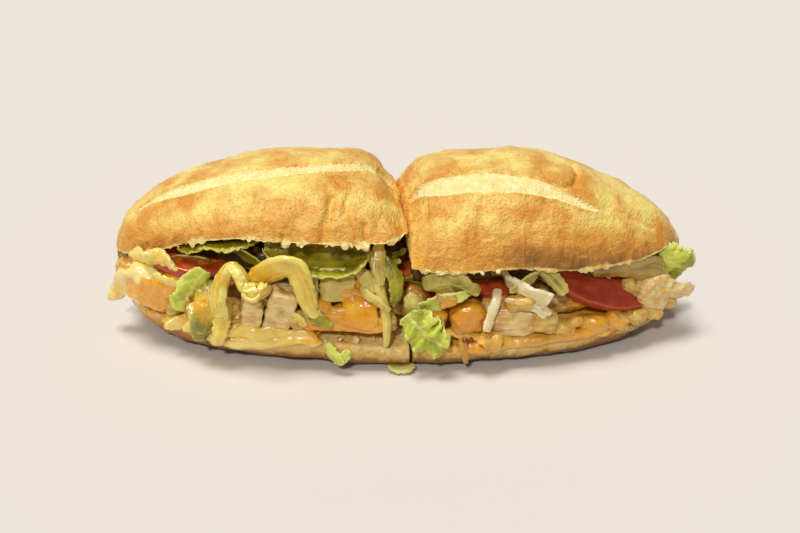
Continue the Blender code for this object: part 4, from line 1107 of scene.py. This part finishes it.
tipFlake = dict(path=[(-112, -17, 32), (-119, -14.5, 30), (-125.5, -9.5, 23.5), (-132, -6, 15.5)],
    width=[17, 17, 10, 1.2], side=(0.2, -0.5, 1), thick=5, cup=0.8, steps=40, across=16)
endTongue = dict(path=[(113, -15, 28), (121, -13, 27), (127, -9, 24.5), (132, -6.5, 22.5)],
    width=[11, 9, 6, 3], side=(0.1, -0.3, 1), thick=4.5, cup=0.8, steps=40, across=16)
meatData = [
    ("chicken_tip_left", saucyMeat, [((-109, -15, 30.5), (25, 20, 21), (5, 20, -15)), tipFlake],
        dict(fibre=0.1, tear=0.35, soft=0.8,
        stains=[((-107, -20, 30), 14, 1.0), ((-103, -20, 24), 12, 1.0)])),
    ("chicken_second_left", saucyMeat, [((-95, -21, 34.5), (18, 14, 18), (-10, 15, 10))],
        dict(fibre=0.1, tear=0.3, soft=0.7, stains=[((-94, -24, 34), 18, 1.0)])),
    ("chicken_small_left", paleMeat, [((-64, -33, 29), (9, 12, 17), (12, 6, 4), 12)],
        dict(tear=0.3, fibre=0.2)),
    ("chicken_block_left", paleMeat, [((-52, -33.5, 28), (12, 13, 25), (10, 16, 0), 12)], dict(tear=0.4)),
    ("chicken_crumb_right", darkMeat, [((6, -29, 28), (11, 12, 14), (0, 10, 0))], dict(tear=0.9)),
    ("chicken_second_right", darkMeat, [((29, -36, 25.5), (15, 13, 15), (0, -15, 10))],
        dict(fibre=0.15, tear=0.4, soft=0.8, stains=[((27, -41, 25), 11, 1.0)])),
    ("chicken_flake_right", paleMeat, [((50, -32, 23), (27, 12, 15), (5, 4, 0))],
        dict(fibre=0.5, tear=0.6, fibreTurn=(0, 5, 0))),
    ("chicken_end_right", paleMeat, [((112, -12, 26), (16, 15, 20), (0, 10, 10)), endTongue],
        dict(fibre=0.12, tear=0.2, soft=1.1))]
for number, (node, material, parts, look) in enumerate(meatData):
    meatPiece(node, parts, material, look, 600 + 10 * number)
print("chicken pieces are placed")


# Tomato slices

# round slice with chambers of gel, unless it is plain
def tomatoSlice(node, look, material, seed):
    up = unit(np.array(look["normal"], float))
    first = unit(np.array((1, 0, 0)) - up * up[0])
    second = np.cross(up, first)
    rings, around = 34, 120
    angle = np.linspace(0, 2 * math.pi, around, endpoint=False)
    flat = np.stack([np.cos(angle), np.sin(angle), 0 * angle], -1)
    outline = look["radius"] * (1 + 0.03 * lumps(flat, 0.6, seed))
    share = np.concatenate([np.linspace(0.02, 0.94, rings),
        1 - 0.06 * (1 - np.sin(np.linspace(0, math.pi, 9))), np.linspace(0.94, 0.02, rings)])
    height = np.concatenate([np.full(rings, -0.5), -0.5 * np.cos(np.linspace(0, math.pi, 9)),
        np.full(rings, 0.5)])
    radius = share[:, None] * outline
    local = np.stack([radius * np.cos(angle), radius * np.sin(angle),
        np.repeat(height[:, None], around, 1)], -1)
    chambers = np.cos(angle * 6 + 0.6)[None, :] > -0.25
    gel = chambers * ramp(share, 0.32, 0.42)[:, None] * (1 - ramp(share, 0.74, 0.82))[:, None]
    gel = gel * (0 if look.get("plain") else 1)
    sag = gel * -0.7 * np.sign(height)[:, None] * (np.abs(height) > 0.49)[:, None]
    z = height[:, None] * look["thick"] + sag + 0.25 * layered(local, 5.0, seed + 1)
    across = second * local[..., 1:2] * look.get("squash", 1)
    points = np.array(look["centre"]) + first * local[..., :1] + across + up * z[..., None]
    skin = ramp(share, 0.955, 0.985)[:, None] * np.ones(around)
    piece = meshObject(titled(node), points, tubeFaces(len(share), around), gel=gel, skin=skin)
    tidyMesh(piece)
    finishPiece(piece, material, "tomato", node)


tomatoData = [
    ("tomato_left", tomatoFinish, dict(centre=(-90, -7, 45), radius=23, thick=5, normal=(0.08, -0.12, 1))),
    ("tomato_middle", tomatoFinish, dict(centre=(14, -8, 38), radius=22, thick=5, normal=(0.2, -0.5, 1))),
    ("tomato_inner", tomatoFinish, dict(centre=(41, -10, 41), radius=23, thick=5.5,
        normal=(0.1, -0.45, 1))),
    ("tomato_outer", dullTomato, dict(centre=(90, -16, 31.5), radius=28, thick=5.5, normal=(0.6, -0.75, 1),
        squash=0.46, plain=True))]
for number, (node, material, look) in enumerate(tomatoData):
    tomatoSlice(node, look, material, 700 + 10 * number)
print("tomato slices are in")


# Melted cheese over the lower slice and its cut edge

def meltedSheet(node, half, look, material, seed):
    steps, along = 90, np.linspace(look["first"], look["last"], 190)
    sec = Section(half, along)
    flat = np.stack([along, 0 * along, 0 * along], -1)
    hang = np.maximum(0.3, smoothCurve(look["drop"], along) + 0.9 * lumps(flat, 6.0, seed))
    knots = []
    for across in (look["reach"], look["reach"] + (1 - look["reach"]) * 0.4, 0.9):
        y, z = sec.filling(across, 0.0)
        knots.append(np.stack([y, z + 0.5], -1))
    knots.append(np.stack([sec.edgeY - 0.45, sec.edgeZ + 0.85], -1))
    for share in (0.5, 1.0):
        z = sec.edgeZ - hang * share
        knots.append(np.stack([sec.bottomY(z) - 0.65, z], -1))
    knots = np.stack(knots, 1)
    line, _ = evenly(knots, steps)
    line = (np.roll(line, 1, 1) + 2 * line + np.roll(line, -1, 1)) / 4
    line[:, 0], line[:, -1] = knots[:, 0], knots[:, -1]
    place = sec.place(line[..., 0], line[..., 1])
    normal = unit(np.cross(np.gradient(place, axis=0), np.gradient(place, axis=1))) * -half["side"]
    if normal[..., 2].mean() < 0:
        normal = -normal
    share = np.linspace(0, 1, steps)[None, :] * np.ones((len(along), 1))
    endFade = ramp(np.minimum(along - look["first"], look["last"] - along), 0, 3)[:, None]
    rim = np.maximum(ramp(share, 0.86, 1.0), 1 - endFade)
    thick = look["thick"] * (1 + 0.35 * layered(place, 8.0, seed + 1)) * (1 - 0.6 * rim**4)
    thick = thick + 0.7 * np.exp(-((share - 0.9) / 0.06) ** 2) * (1 + lumps(place, 9.0, seed + 4))
    lump = ramp(lumps(place, (9, 6, 7), seed + 5), -0.1, 0.9) * ramp(1 - share, 0, 0.25)
    thick = thick + look["lump"] * lump * ramp(share, 0.1, 0.4)
    upper = place + normal * (thick * (0.35 + 0.65 * endFade))[..., None]
    nearEnd = 1 - ramp(np.minimum(along - look["first"], look["last"] - along), 0, 14)[:, None]
    frayed = lumps(place * (0, 1, 1), 6, seed + 6)
    wander = half["side"] * nearEnd * (1.5 + 4.5 * frayed)
    upper[..., 0] += wander
    place[..., 0] += wander
    wave = 0.8 * lumps(flat, 4.0, seed + 2)
    upper[:, -1, 2] += 0.3 + 0.2 * wave
    both = np.stack([upper, place])
    obj = meshObject(titled(node), both, sheetFaces(*share.shape),
        stain=stainAt(both, look["stains"], seed))
    tidyMesh(obj)
    finishPiece(obj, material, "cheese", node)


leftDrop = [(34, 0.8), (44, 0.6), (52, 2.0), (66, 3.6), (80, 3.4), (95, 1.0), (106, 0.4)]
rightDrop = [(27, 1.8), (38, 2.6), (48, 0.8), (62, 1.2), (76, 2.0), (92, 1.2), (106, 0.6)]
meltedSheet("cheese_left", leftHalf, dict(first=34, last=106, reach=0.45, drop=leftDrop, thick=1.6,
    lump=2.4, stains=[((-38, -37, 20), 9, 0.8), ((-76, -33, 17), 7, 0.45), ((-104, -17, 18), 8, 0.6)]),
    cheeseFinish, 800)
meltedSheet("cheese_right", rightHalf, dict(
    first=27, last=108, reach=0.45, drop=rightDrop, thick=1.6, lump=2.4,
    stains=[((32, -38, 14), 9, 0.9), ((86, -29, 16), 11, 0.8), ((72, -33, 18), 7, 0.5)]), deepCheese, 820)
print("cheese is melted")


# Heaps: a rough core in each half with torn meat or lettuce shreds over it

def corePoints(half, look, seed):
    along = np.linspace(look["first"], look["last"], 120)
    sec = Section(half, along)
    low, high, front = look["low"], look["high"], look["front"]
    corners = [(0.05, low), (0.5, low), (front - 0.12, low), (front, low + 0.12),
        (front + 0.03, (low + high) / 2), (front, high - 0.1), (front - 0.15, high), (0.5, high),
        (0.05, high)]
    knots = [np.stack(sec.filling(across, up), -1) for across, up in corners]
    ring, _ = evenly(np.stack(knots + knots[:1], 1), 90)
    points = sec.place(ring[..., 0], ring[..., 1])
    centre = points.mean(axis=1, keepdims=True)
    out = unit(points - centre)
    points = points + out * (look["bumps"] * (layered(points, look["bumpSize"], seed) - 0.4))[..., None]
    return points


def coreObject(name, half, look, seed):
    points = corePoints(half, look, seed)
    core = meshObject(name, points, tubeFaces(*points.shape[:2]))
    tidyMesh(core)
    return core


# torn lumps of meat along the front of a layer and over its cut end
def randomBlocks(half, look, seed):
    draw = np.random.default_rng(seed)
    blocks = []
    run = look["last"] - look["first"] - 8
    for k in range(look["lumps"]):
        s = look["first"] + 4 + run * (k + draw.uniform(0.1, 0.9)) / look["lumps"]
        sec = Section(half, s)
        up = draw.uniform(look["low"] + 0.08, look["high"] - 0.08)
        y, z = sec.filling(look["front"] - draw.uniform(0.02, 0.12), up)
        size = draw.uniform((9, 7, 5), (17, 11, 9))
        blocks.append(blockObject(sec.place(y, z)[0], size, draw.uniform(-30, 30, 3), seed + k, square=2.6))
    for k in range(look["endLumps"]):
        sec = Section(half, look["first"] + 3.5)
        across = draw.uniform(0.15, look["front"] - 0.05)
        y, z = sec.filling(across, draw.uniform(look["low"], look["high"]))
        size = draw.uniform((5, 7, 5), (7, 13, 9))
        turn = draw.uniform(-12, 12, 3)
        blocks.append(blockObject(sec.place(y, z)[0], size, turn, seed + 50 + k, square=2.6))
    return blocks


def meatHeap(node, half, look, material, seed, extra=()):
    core = coreObject("core", half, look, seed)
    blocks = randomBlocks(half, look, seed + 5) + [blockObject(*part, seed + 90) for part in extra]
    heap = meltTogether(titled(node), [core] + blocks, voxel=0.8, smoothing=3)
    roughen(heap, dict(fibre=0.25, tear=0.35, soft=0.7), seed + 8)
    paintStains(heap, look.get("stains", ()), seed)
    finishPiece(heap, material, "chicken", node)


meatLook = dict(first=1.6, last=114, low=0.06, high=0.49, front=0.86, bumps=1.0, bumpSize=9.0, lumps=16,
    endLumps=9)
leftLumps = [
    ((-76, -31, 26), (13, 10, 12), (0, 20, 10)), ((-88, -27, 24), (12, 10, 9), (10, 0, -20)),
    ((-98, -21, 22), (13, 9, 8), (0, 10, 30)), ((-69, -32, 22), (12, 9, 9), (0, -20, 0)),
    ((-43, -36, 25), (13, 8, 10), (0, 15, 10)), ((-35, -37, 30), (10, 8, 12), (20, 0, 30)),
    ((-27, -37, 27), (14, 8, 10), (0, -10, 0)), ((-14, -37, 25), (13, 8, 9), (0, 10, -10)),
    ((-5, -38, 24), (8, 8, 10), (0, 0, 20)), ((-119, -7, 31), (17, 12, 15), (0, 12, -30)),
    ((-113, -11, 17), (10, 7, 5), (0, 10, 30)), ((-21, -34.5, 37), (12, 7, 8), (0, 30, 0))]
rightLumps = [
    ((43, -31, 31), (8, 9, 8), (0, 0, 20)), ((14, -36, 26), (13, 9, 10), (0, 15, 0)),
    ((20, -37, 36), (9, 8, 8), (0, -20, 0)), ((62, -34, 23), (14, 9, 11), (0, 10, 0)),
    ((52, -36.5, 33), (13, 8, 7), (0, -12, 0)), ((71, -32, 18), (12, 8, 7), (0, 20, 10)),
    ((84, -28, 17), (15, 9, 8), (0, -10, 0)), ((96, -24, 17), (12, 8, 8), (0, 30, 0)),
    ((106, -20, 17), (10, 8, 7), (0, 0, 20)), ((113, -15, 16), (10, 8, 7), (0, 20, 0)),
    ((121, -9, 19), (9, 8, 9), (0, 0, 0)), ((116, -11, 30), (7, 7, 8), (10, 20, 0))]
meatHeap("chicken_left", leftHalf,
    dict(meatLook, stains=[((-26, -38, 30), 14, 0.8), ((-12, -38, 28), 9, 0.6)]), heapMeat, 900, leftLumps)
meatHeap("chicken_right", rightHalf,
    dict(meatLook, stains=[((24, -38, 28), 12, 0.8), ((88, -28, 20), 14, 0.6)]), heapMeat, 940, rightLumps)
print("chicken layers are heaped")


# Scattering with geometry nodes, for lettuce shreds and for crumbs

def makeScatterTree():
    tree, asked, outlet = newGroup("scatter", "GeometryNodeTree", dict(
        Geometry="Geometry", Pieces="Collection", Finish="Material", Density="Float", Seed="Int",
        Smallest="Float", Largest="Float", Turn="Vector"), dict(Geometry="Geometry"))
    spread = addNode(tree, "GeometryNodeDistributePointsOnFaces", dict(
        Mesh=asked["Geometry"], Density=asked["Density"], Seed=asked["Seed"]))
    pieces = addNode(tree, "GeometryNodeCollectionInfo", {
        "Collection": asked["Pieces"], "Separate Children": True, "Reset Children": True})
    back = addNode(tree, "ShaderNodeVectorMath", {0: asked["Turn"], "Scale": -1}, operation="SCALE")
    turn = addNode(tree, "FunctionNodeRandomValue", {
        0: back.outputs[0], 1: asked["Turn"], "Seed": addMath(tree, "ADD", asked["Seed"], 1)},
        data_type="FLOAT_VECTOR")
    size = addNode(tree, "FunctionNodeRandomValue", {
        2: asked["Smallest"], 3: asked["Largest"], "Seed": addMath(tree, "ADD", asked["Seed"], 2)})
    put = addNode(tree, "GeometryNodeInstanceOnPoints", {
        "Points": spread.outputs["Points"], "Instance": pieces.outputs[0], "Pick Instance": True,
        "Rotation": turn.outputs[0], "Scale": size.outputs[1]})
    real = addNode(tree, "GeometryNodeRealizeInstances", {0: put.outputs[0]})
    finish = addNode(tree, "GeometryNodeSetMaterial",
        dict(Geometry=real.outputs[0], Material=asked["Finish"]))
    feed(tree, finish.outputs[0], outlet[0])
    return tree


scatterTree = makeScatterTree()


# replaces the ground mesh by pieces scattered over it; values are the scatter tree's inputs
def scatterOn(ground, pieces, **values):
    shelf = bpy.data.collections.new("shelf")
    for piece in pieces:
        scene.collection.objects.unlink(piece)
        shelf.objects.link(piece)
    modifier = ground.modifiers.new("scatter", "NODES")
    modifier.node_group = scatterTree
    values["Pieces"] = shelf
    for item in scatterTree.interface.items_tree:
        if item.in_out == "INPUT" and item.name in values:
            modifier[item.identifier] = values[item.name]
    ground.data = applied(ground)
    for piece in pieces:
        bpy.data.objects.remove(piece)
    bpy.data.collections.remove(shelf)


# narrow band along the half, from one place in the opening to another
def stripGround(name, half, first, last, band):
    sec = Section(half, np.linspace(first, last, 60))
    return meshObject(name, [sec.place(*sec.filling(*corner)) for corner in band], rowFaces(2, 60))


# single shreds round the origin, some bent, some curled
def shredShapes(count, seed):
    draw = np.random.default_rng(seed)
    shapes = []
    for k in range(count):
        length, bendy = draw.uniform(10, 20), draw.uniform(-4, 4)
        path = [(-length / 2, -yShift, 0), (0, bendy - yShift, draw.uniform(-3, 3)),
                (length / 2, draw.uniform(-3, 3) - yShift, draw.uniform(-3, 3))]
        look = dict(path=path, width=[2.2, draw.uniform(3, 5), 2.0], side=(0, 0.5, 1), thick=1.0, cup=0.5,
                    wave=0.8, steps=24, across=8, crumple=0.6, twist=draw.uniform(-60, 60))
        shapes.append(leafPiece("shred", look, seed=seed + k))
    return shapes


# a core, shreds scattered along its front and single strips
def lettuceHeap(node, half, look, seed, strips):
    name = titled(node)
    core = coreObject(name, half, look, seed)
    # the core wears the painted shade colour of the opening's depth
    finishPiece(core, paintedShadeLeaf, "lettuce", node)
    for number, (finish, band, density) in enumerate(look["shreds"]):
        ground = stripGround(name + "Shreds" + str(number), half, look["first"] + 4, look["last"] - 6, band)
        scatterOn(ground, shredShapes(5, seed + 20 * number), Finish=finish, Density=density,
                  Seed=seed + number, Smallest=0.7, Largest=1.15, Turn=(0.7, 0.6, 0.5))
        finishPiece(ground, finish, "lettuce", node)
    for number, (finish, shape) in enumerate(strips):
        leafPiece(name + "Strip" + str(number), shape, finish, "lettuce", node, seed + 60 + number)


ribbon = dict(side=(0.6, 0.2, 0.8), thick=1.6, cup=0.4, across=14, crumple=0.4)
thinStrip = dict(ribbon, thick=1.1, steps=50)
leftStrips = [
    (tanLeaf, dict(thinStrip, path=[(-9, -27, 57), (-9, -31.5, 51), (-8.5, -35, 46), (-8, -37.5, 42)],
        width=[4, 6, 5, 2], side=(1, 0.2, 0))),
    (tanLeaf,
        dict(thinStrip, path=[(-17, -35, 40), (-13.7, -38.5, 38.2), (-9.4, -40.2, 36), (-4.3, -41.5, 32)],
        width=[3, 4.5, 4, 2], side=(0.3, 0.2, 1))),
    (tanLeaf, dict(thinStrip, path=[(-21, -31, 50), (-15, -34.5, 44.6), (-11.5, -37.5, 38)],
        width=[4, 6, 3])),
    (paleLeaf, dict(thinStrip, path=[(-90, -29, 38), (-86, -32.5, 35), (-81, -36, 31)], width=[3, 5, 3])),
    (tanLeaf, dict(thinStrip, path=[(-89, -32, 31), (-86, -36, 26), (-84.5, -37.5, 18)], width=[8, 10, 5],
        side=(1, 0.2, 0))),
    (greenLeaf, dict(thinStrip, path=[(-39.5, -39.5, 30.5), (-35, -41.8, 28.5), (-29.5, -42.2, 25)],
        width=[4, 6, 2], wave=0.8)),
    (brightLeaf, dict(thinStrip, path=[(-42, -38.5, 33), (-37.5, -41.5, 31), (-34, -42.2, 27)],
        width=[2, 4, 2], wave=0.6)),
    (greenLeaf, dict(thinStrip, path=[(-72, -25, 54), (-66, -28, 51), (-59, -30, 48)], width=[7, 11, 5],
        side=(0.1, 0.6, -1))),
    (paleLeaf, dict(thinStrip, path=[(-59, -34, 33), (-52, -37, 29.5), (-45, -39, 27), (-40, -40, 24)],
        width=[4, 7, 7, 3], side=(0.2, -0.4, 1))),
    (dullLeaf, dict(thinStrip, path=[(-104, -22, 18), (-97, -26, 17.5), (-90, -29.5, 17)], width=[3, 4, 3],
        side=(0, -0.5, 1))),
    (dullLeaf, dict(thinStrip, path=[(-101, -17, 44), (-92, -21, 46), (-83, -24, 47)], width=[5, 8, 4],
        side=(0, 0.7, -0.7)))]
rightStrips = [
    (dullLeaf, dict(ribbon, path=[(58, -27, 49), (60, -32, 48.5), (66, -34, 43), (71, -35.5, 37)],
        width=[4, 5, 6, 5])),
    (dullLeaf, dict(ribbon, path=[(62, -27, 47), (59, -32, 45), (53, -35, 41.5), (47, -37.5, 39)],
        width=[4, 6, 5, 3])),
    (creamLeaf, dict(ribbon, path=[(48, -28, 40), (53, -34, 37.5), (59, -36, 33), (65, -38, 28)],
        width=[3, 3, 3, 2.5])),
    (creamLeaf, dict(ribbon, path=[(42, -33, 37.5), (41.3, -37.5, 35.5), (39.5, -40, 31), (37, -42, 22)],
        width=[3, 4, 4, 3.6], side=(1, 0.1, 0), rounding=0.15)),
    (creamLeaf, dict(ribbon, path=[(45, -24, 43), (49, -33, 40.5), (56, -37, 38), (64, -37.5, 34.5)],
        width=[4, 8, 10, 9], side=(0.2, 0.3, -1), cup=-1, wave=0.6, across=30, rounding=0.15,
        ribHeight=0.9)),
    (dullLeaf, dict(thinStrip, path=[(65, -26, 50), (71, -29, 48), (78, -29, 46)], width=[3, 5, 3],
        side=(0.1, 0.3, -1))),
    (creamLeaf, dict(thinStrip, path=[(45, -38, 35.5), (55, -39, 33), (63, -38.5, 27)], width=[2, 4, 3],
        side=(0.2, 0.2, -1))),
    (oliveLeaf, dict(thinStrip, path=[(84, -21, 40), (95, -19.5, 40.5), (106, -16, 39), (117, -9.5, 35.5)],
        width=[8, 12, 13, 8], side=(0.1, 0.4, -1), cup=-1.5, ribHeight=0.1)),
    (oliveLeaf, dict(thinStrip, path=[(110, -15, 38), (114, -13, 35), (118, -11, 31)], width=[5, 7, 4],
        side=(0.3, 0.4, -1), ribHeight=0.1)),
    (oliveLeaf,
        dict(thinStrip, path=[(96, -25.4, 11), (102, -22.5, 11), (108, -19.2, 11.5), (114, -15, 12)],
        width=[2, 3.5, 3.5, 2], side=(0, -0.2, 1))),
    (dullLeaf, dict(thinStrip, path=[(3, -35, 36), (6, -37, 33), (8, -38, 29)], width=[5, 8, 5],
        side=(1, 0.2, 0)))]
lettuceLook = dict(first=1.6, last=108, low=0.5, high=0.95, front=0.77, bumps=1.4, bumpSize=11.0, shreds=[
    (greenLeaf, ((0.72, 0.6), (0.74, 0.92)), 9000), (dullLeaf, ((0.74, 0.58), (0.76, 0.85)), 7000)])
lettuceHeap("lettuce_left", leftHalf, lettuceLook, 1000, leftStrips)
lettuceHeap("lettuce_right", rightHalf, lettuceLook, 1100, rightStrips)
print("lettuce layers are heaped")


# Sauce, drips and crumbs

# blocks melted into one soft body
def wetBody(name, parts, material, seed, voxel=0.45, smoothing=8):
    blocks = [blockObject(*part, seed + k, square=2.0) for k, part in enumerate(parts)]
    body = meltTogether(name, blocks, voxel, smoothing)
    pushOut(body, lambda points: 0.35 * layered(points, 4.0, seed))
    paintStains(body, (), seed)
    finishPiece(body, material, "sauce")


poolDraw = np.random.default_rng(1200)
poolParts = [((x, -36.8 - 0.1 * (x + 40), 22.2 + poolDraw.uniform(-0.8, 0.8)),
    (12, 4.6, poolDraw.uniform(4, 6)), (0, poolDraw.uniform(-8, 8), -6)) for x in np.linspace(-41, -11, 9)]
poolParts += [((x, -37.4, 26 + poolDraw.uniform(-0.6, 1.5)), (9, 4, 6), (0, poolDraw.uniform(-30, 30), 0))
    for x in np.linspace(-35, -14, 5)]
wetBody("SaucePool", poolParts, sauceFinish, 1200)
rightPool = [((20, -39, 19.5), (12, 5, 3.4), (0, 0, 0)), ((28, -40, 19), (12, 5, 3.2), (0, 0, 0)),
    ((35, -39.6, 17.5), (11, 5, 3.2), (0, 10, 0))]
wetBody("SaucePoolRight", rightPool, deepCheese, 1240)
leafPiece("CheeseFlake", dict(path=[(34.5, -40.6, 19), (40, -42, 16.5), (41.8, -42.8, 11.5)],
    width=[12, 10, 1.5], side=(1, 0.1, -0.3), thick=1.2, cup=0.5, crumple=0.4, steps=40, across=16),
    deepCheese, "sauce", None, 1270)
wetBody("SauceBead", [((28, -43.4, 18.3), (2.8, 2.2, 3), (0, 0, 0)),
    ((30.6, -43.2, 18.8), (2.4, 2, 2.4), (0, 0, 0))], beadFinish, 1260, voxel=0.25, smoothing=3)
leafPiece("SauceDrip", dict(path=[(26.8, -41.4, 19), (27.8, -42.5, 13), (28.4, -42.5, 9), (28.8, -42, 5.5)],
    width=[4, 3.6, 3, 1.6], side=(1, 0, 0), thick=0.7, cup=0.3, crumple=0.15, steps=60, ragged=0.15),
    dripFinish, "sauce", None, 1280)
cheeseBits = [
    ((65, -35, 25), (10, 4, 5), (0, 30, 0)), ((70, -34.5, 18), (10, 4, 5), (0, 0, 0)),
    ((83, -30, 18.5), (11, 5, 6), (0, 20, 0)), ((89, -29.2, 13.5), (8, 3, 5), (0, 0, 0)),
    ((98, -25.2, 14.8), (9, 4, 5), (0, 40, 0)), ((76, -32, 20), (10, 5, 5), (0, -20, 0))]
wetBody("CheeseBits", cheeseBits, deepCheese, 1300, voxel=0.4, smoothing=4)
meltLook = dict(thick=2.2, cup=1.2, crumple=1.1, crumpleSize=5.0, wave=1.4, waves=2.2, ragged=0.8,
    across=26, steps=70, side=(0, -0.45, 1), rounding=0.3)
meltSheets = [dict(meltLook, path=[(-117, -13, 42), (-111, -18, 45), (-103, -23, 46.5), (-95, -27, 44)],
    width=[8, 11, 12, 5]),
    dict(meltLook, path=[(-113, -18, 37), (-106, -22, 38), (-97, -26, 36), (-90, -29, 31)],
    width=[5, 9, 8, 4], side=(0.2, -0.5, 1))]
for number, look in enumerate(meltSheets):
    leafPiece("MeltOverChicken" + str(number), look, cheeseFinish, "sauce", None, 1340 + 7 * number)
meltDraw = np.random.default_rng(1360)
frontMelt = [((x, -38.4 + 0.0042 * (x + 45) ** 2, 18.2 + meltDraw.uniform(-1.6, 1.6)),
    (13, 3.4, meltDraw.uniform(6, 8.5)), (0, meltDraw.uniform(-9, 9), -0.45 * (x + 45)))
    for x in np.linspace(-98, -43, 13)]
wetBody("FrontMelt", frontMelt, cheeseFinish, 1360, voxel=0.4, smoothing=14)


def crumbShapes(count, seed, size):
    draw = np.random.default_rng(seed)
    return [blockObject((0, -yShift, 0), draw.uniform(0.35, 1.9, 3) * size, draw.uniform(-90, 90, 3),
        seed + k, square=2.6, cells=5) for k in range(count)]


lipBand = ((0.965, 1.0), (1.005, 0.985))
edgeBand = ((0.93, 0.01), (1.0, 0.01))
meatBand = ((0.9, 0.05), (0.97, 0.04))
crumbData = [
    ("LipCrumbsLeft", leftHalf, 4, 118, lipBand, 22000),
    ("LipCrumbsRight", rightHalf, 4, 118, lipBand, 22000),
    ("TornCrumbsA", leftHalf, 47, 53, lipBand, 330000), ("TornCrumbsB", leftHalf, 16, 28, lipBand, 150000),
    ("TornCrumbsC", leftHalf, 4, 8, lipBand, 160000), ("TornCrumbsD", rightHalf, 6, 14, lipBand, 200000),
    ("TornCrumbsE", rightHalf, 26, 43, lipBand, 110000),
    ("EdgeCrumbsLeft", leftHalf, 2, 112, edgeBand, 14000),
    ("EdgeCrumbsRight", rightHalf, 2, 118, edgeBand, 14000),
    ("MeatCrumbsLeft", leftHalf, 6, 112, meatBand, 40000),
    ("MeatCrumbsRight", rightHalf, 6, 118, meatBand, 40000)]
for number, (name, half, first, last, band, density) in enumerate(crumbData):
    finish, slot = (paleMeat, "chicken") if band == meatBand else (dryCrumb, "bread")
    ground = stripGround(name, half, first, last, band)
    scatterOn(ground, crumbShapes(6, 1400 + 10 * number, 1.3), Finish=finish, Density=density,
              Seed=40 + number, Smallest=0.4, Largest=1.9, Turn=(1.5, 1.5, 1.5))
    finishPiece(ground, finish, slot)

# a flat spiral that leans back
coilPath = []
for angle in np.linspace(0, 3.3 * math.pi, 9):
    radius = 0.5 + 0.36 * angle
    over, up = radius * math.cos(angle + 2.2), radius * math.sin(angle + 2.2)
    coilPath.append((-62.5 + over, -42.6 + 0.5 * up, 42.5 + 0.87 * up))
leafPiece("CurlCoil", dict(path=coilPath, width=7, side=(0, -0.87, 0.5), thick=2.5, cup=0, crumple=0.1,
    ragged=0.1, steps=120, across=12, rounding=0.1), paleLeaf, "pale_lettuce", "curl_left", 1500)
print("sauce, cheese bits and crumbs are added")
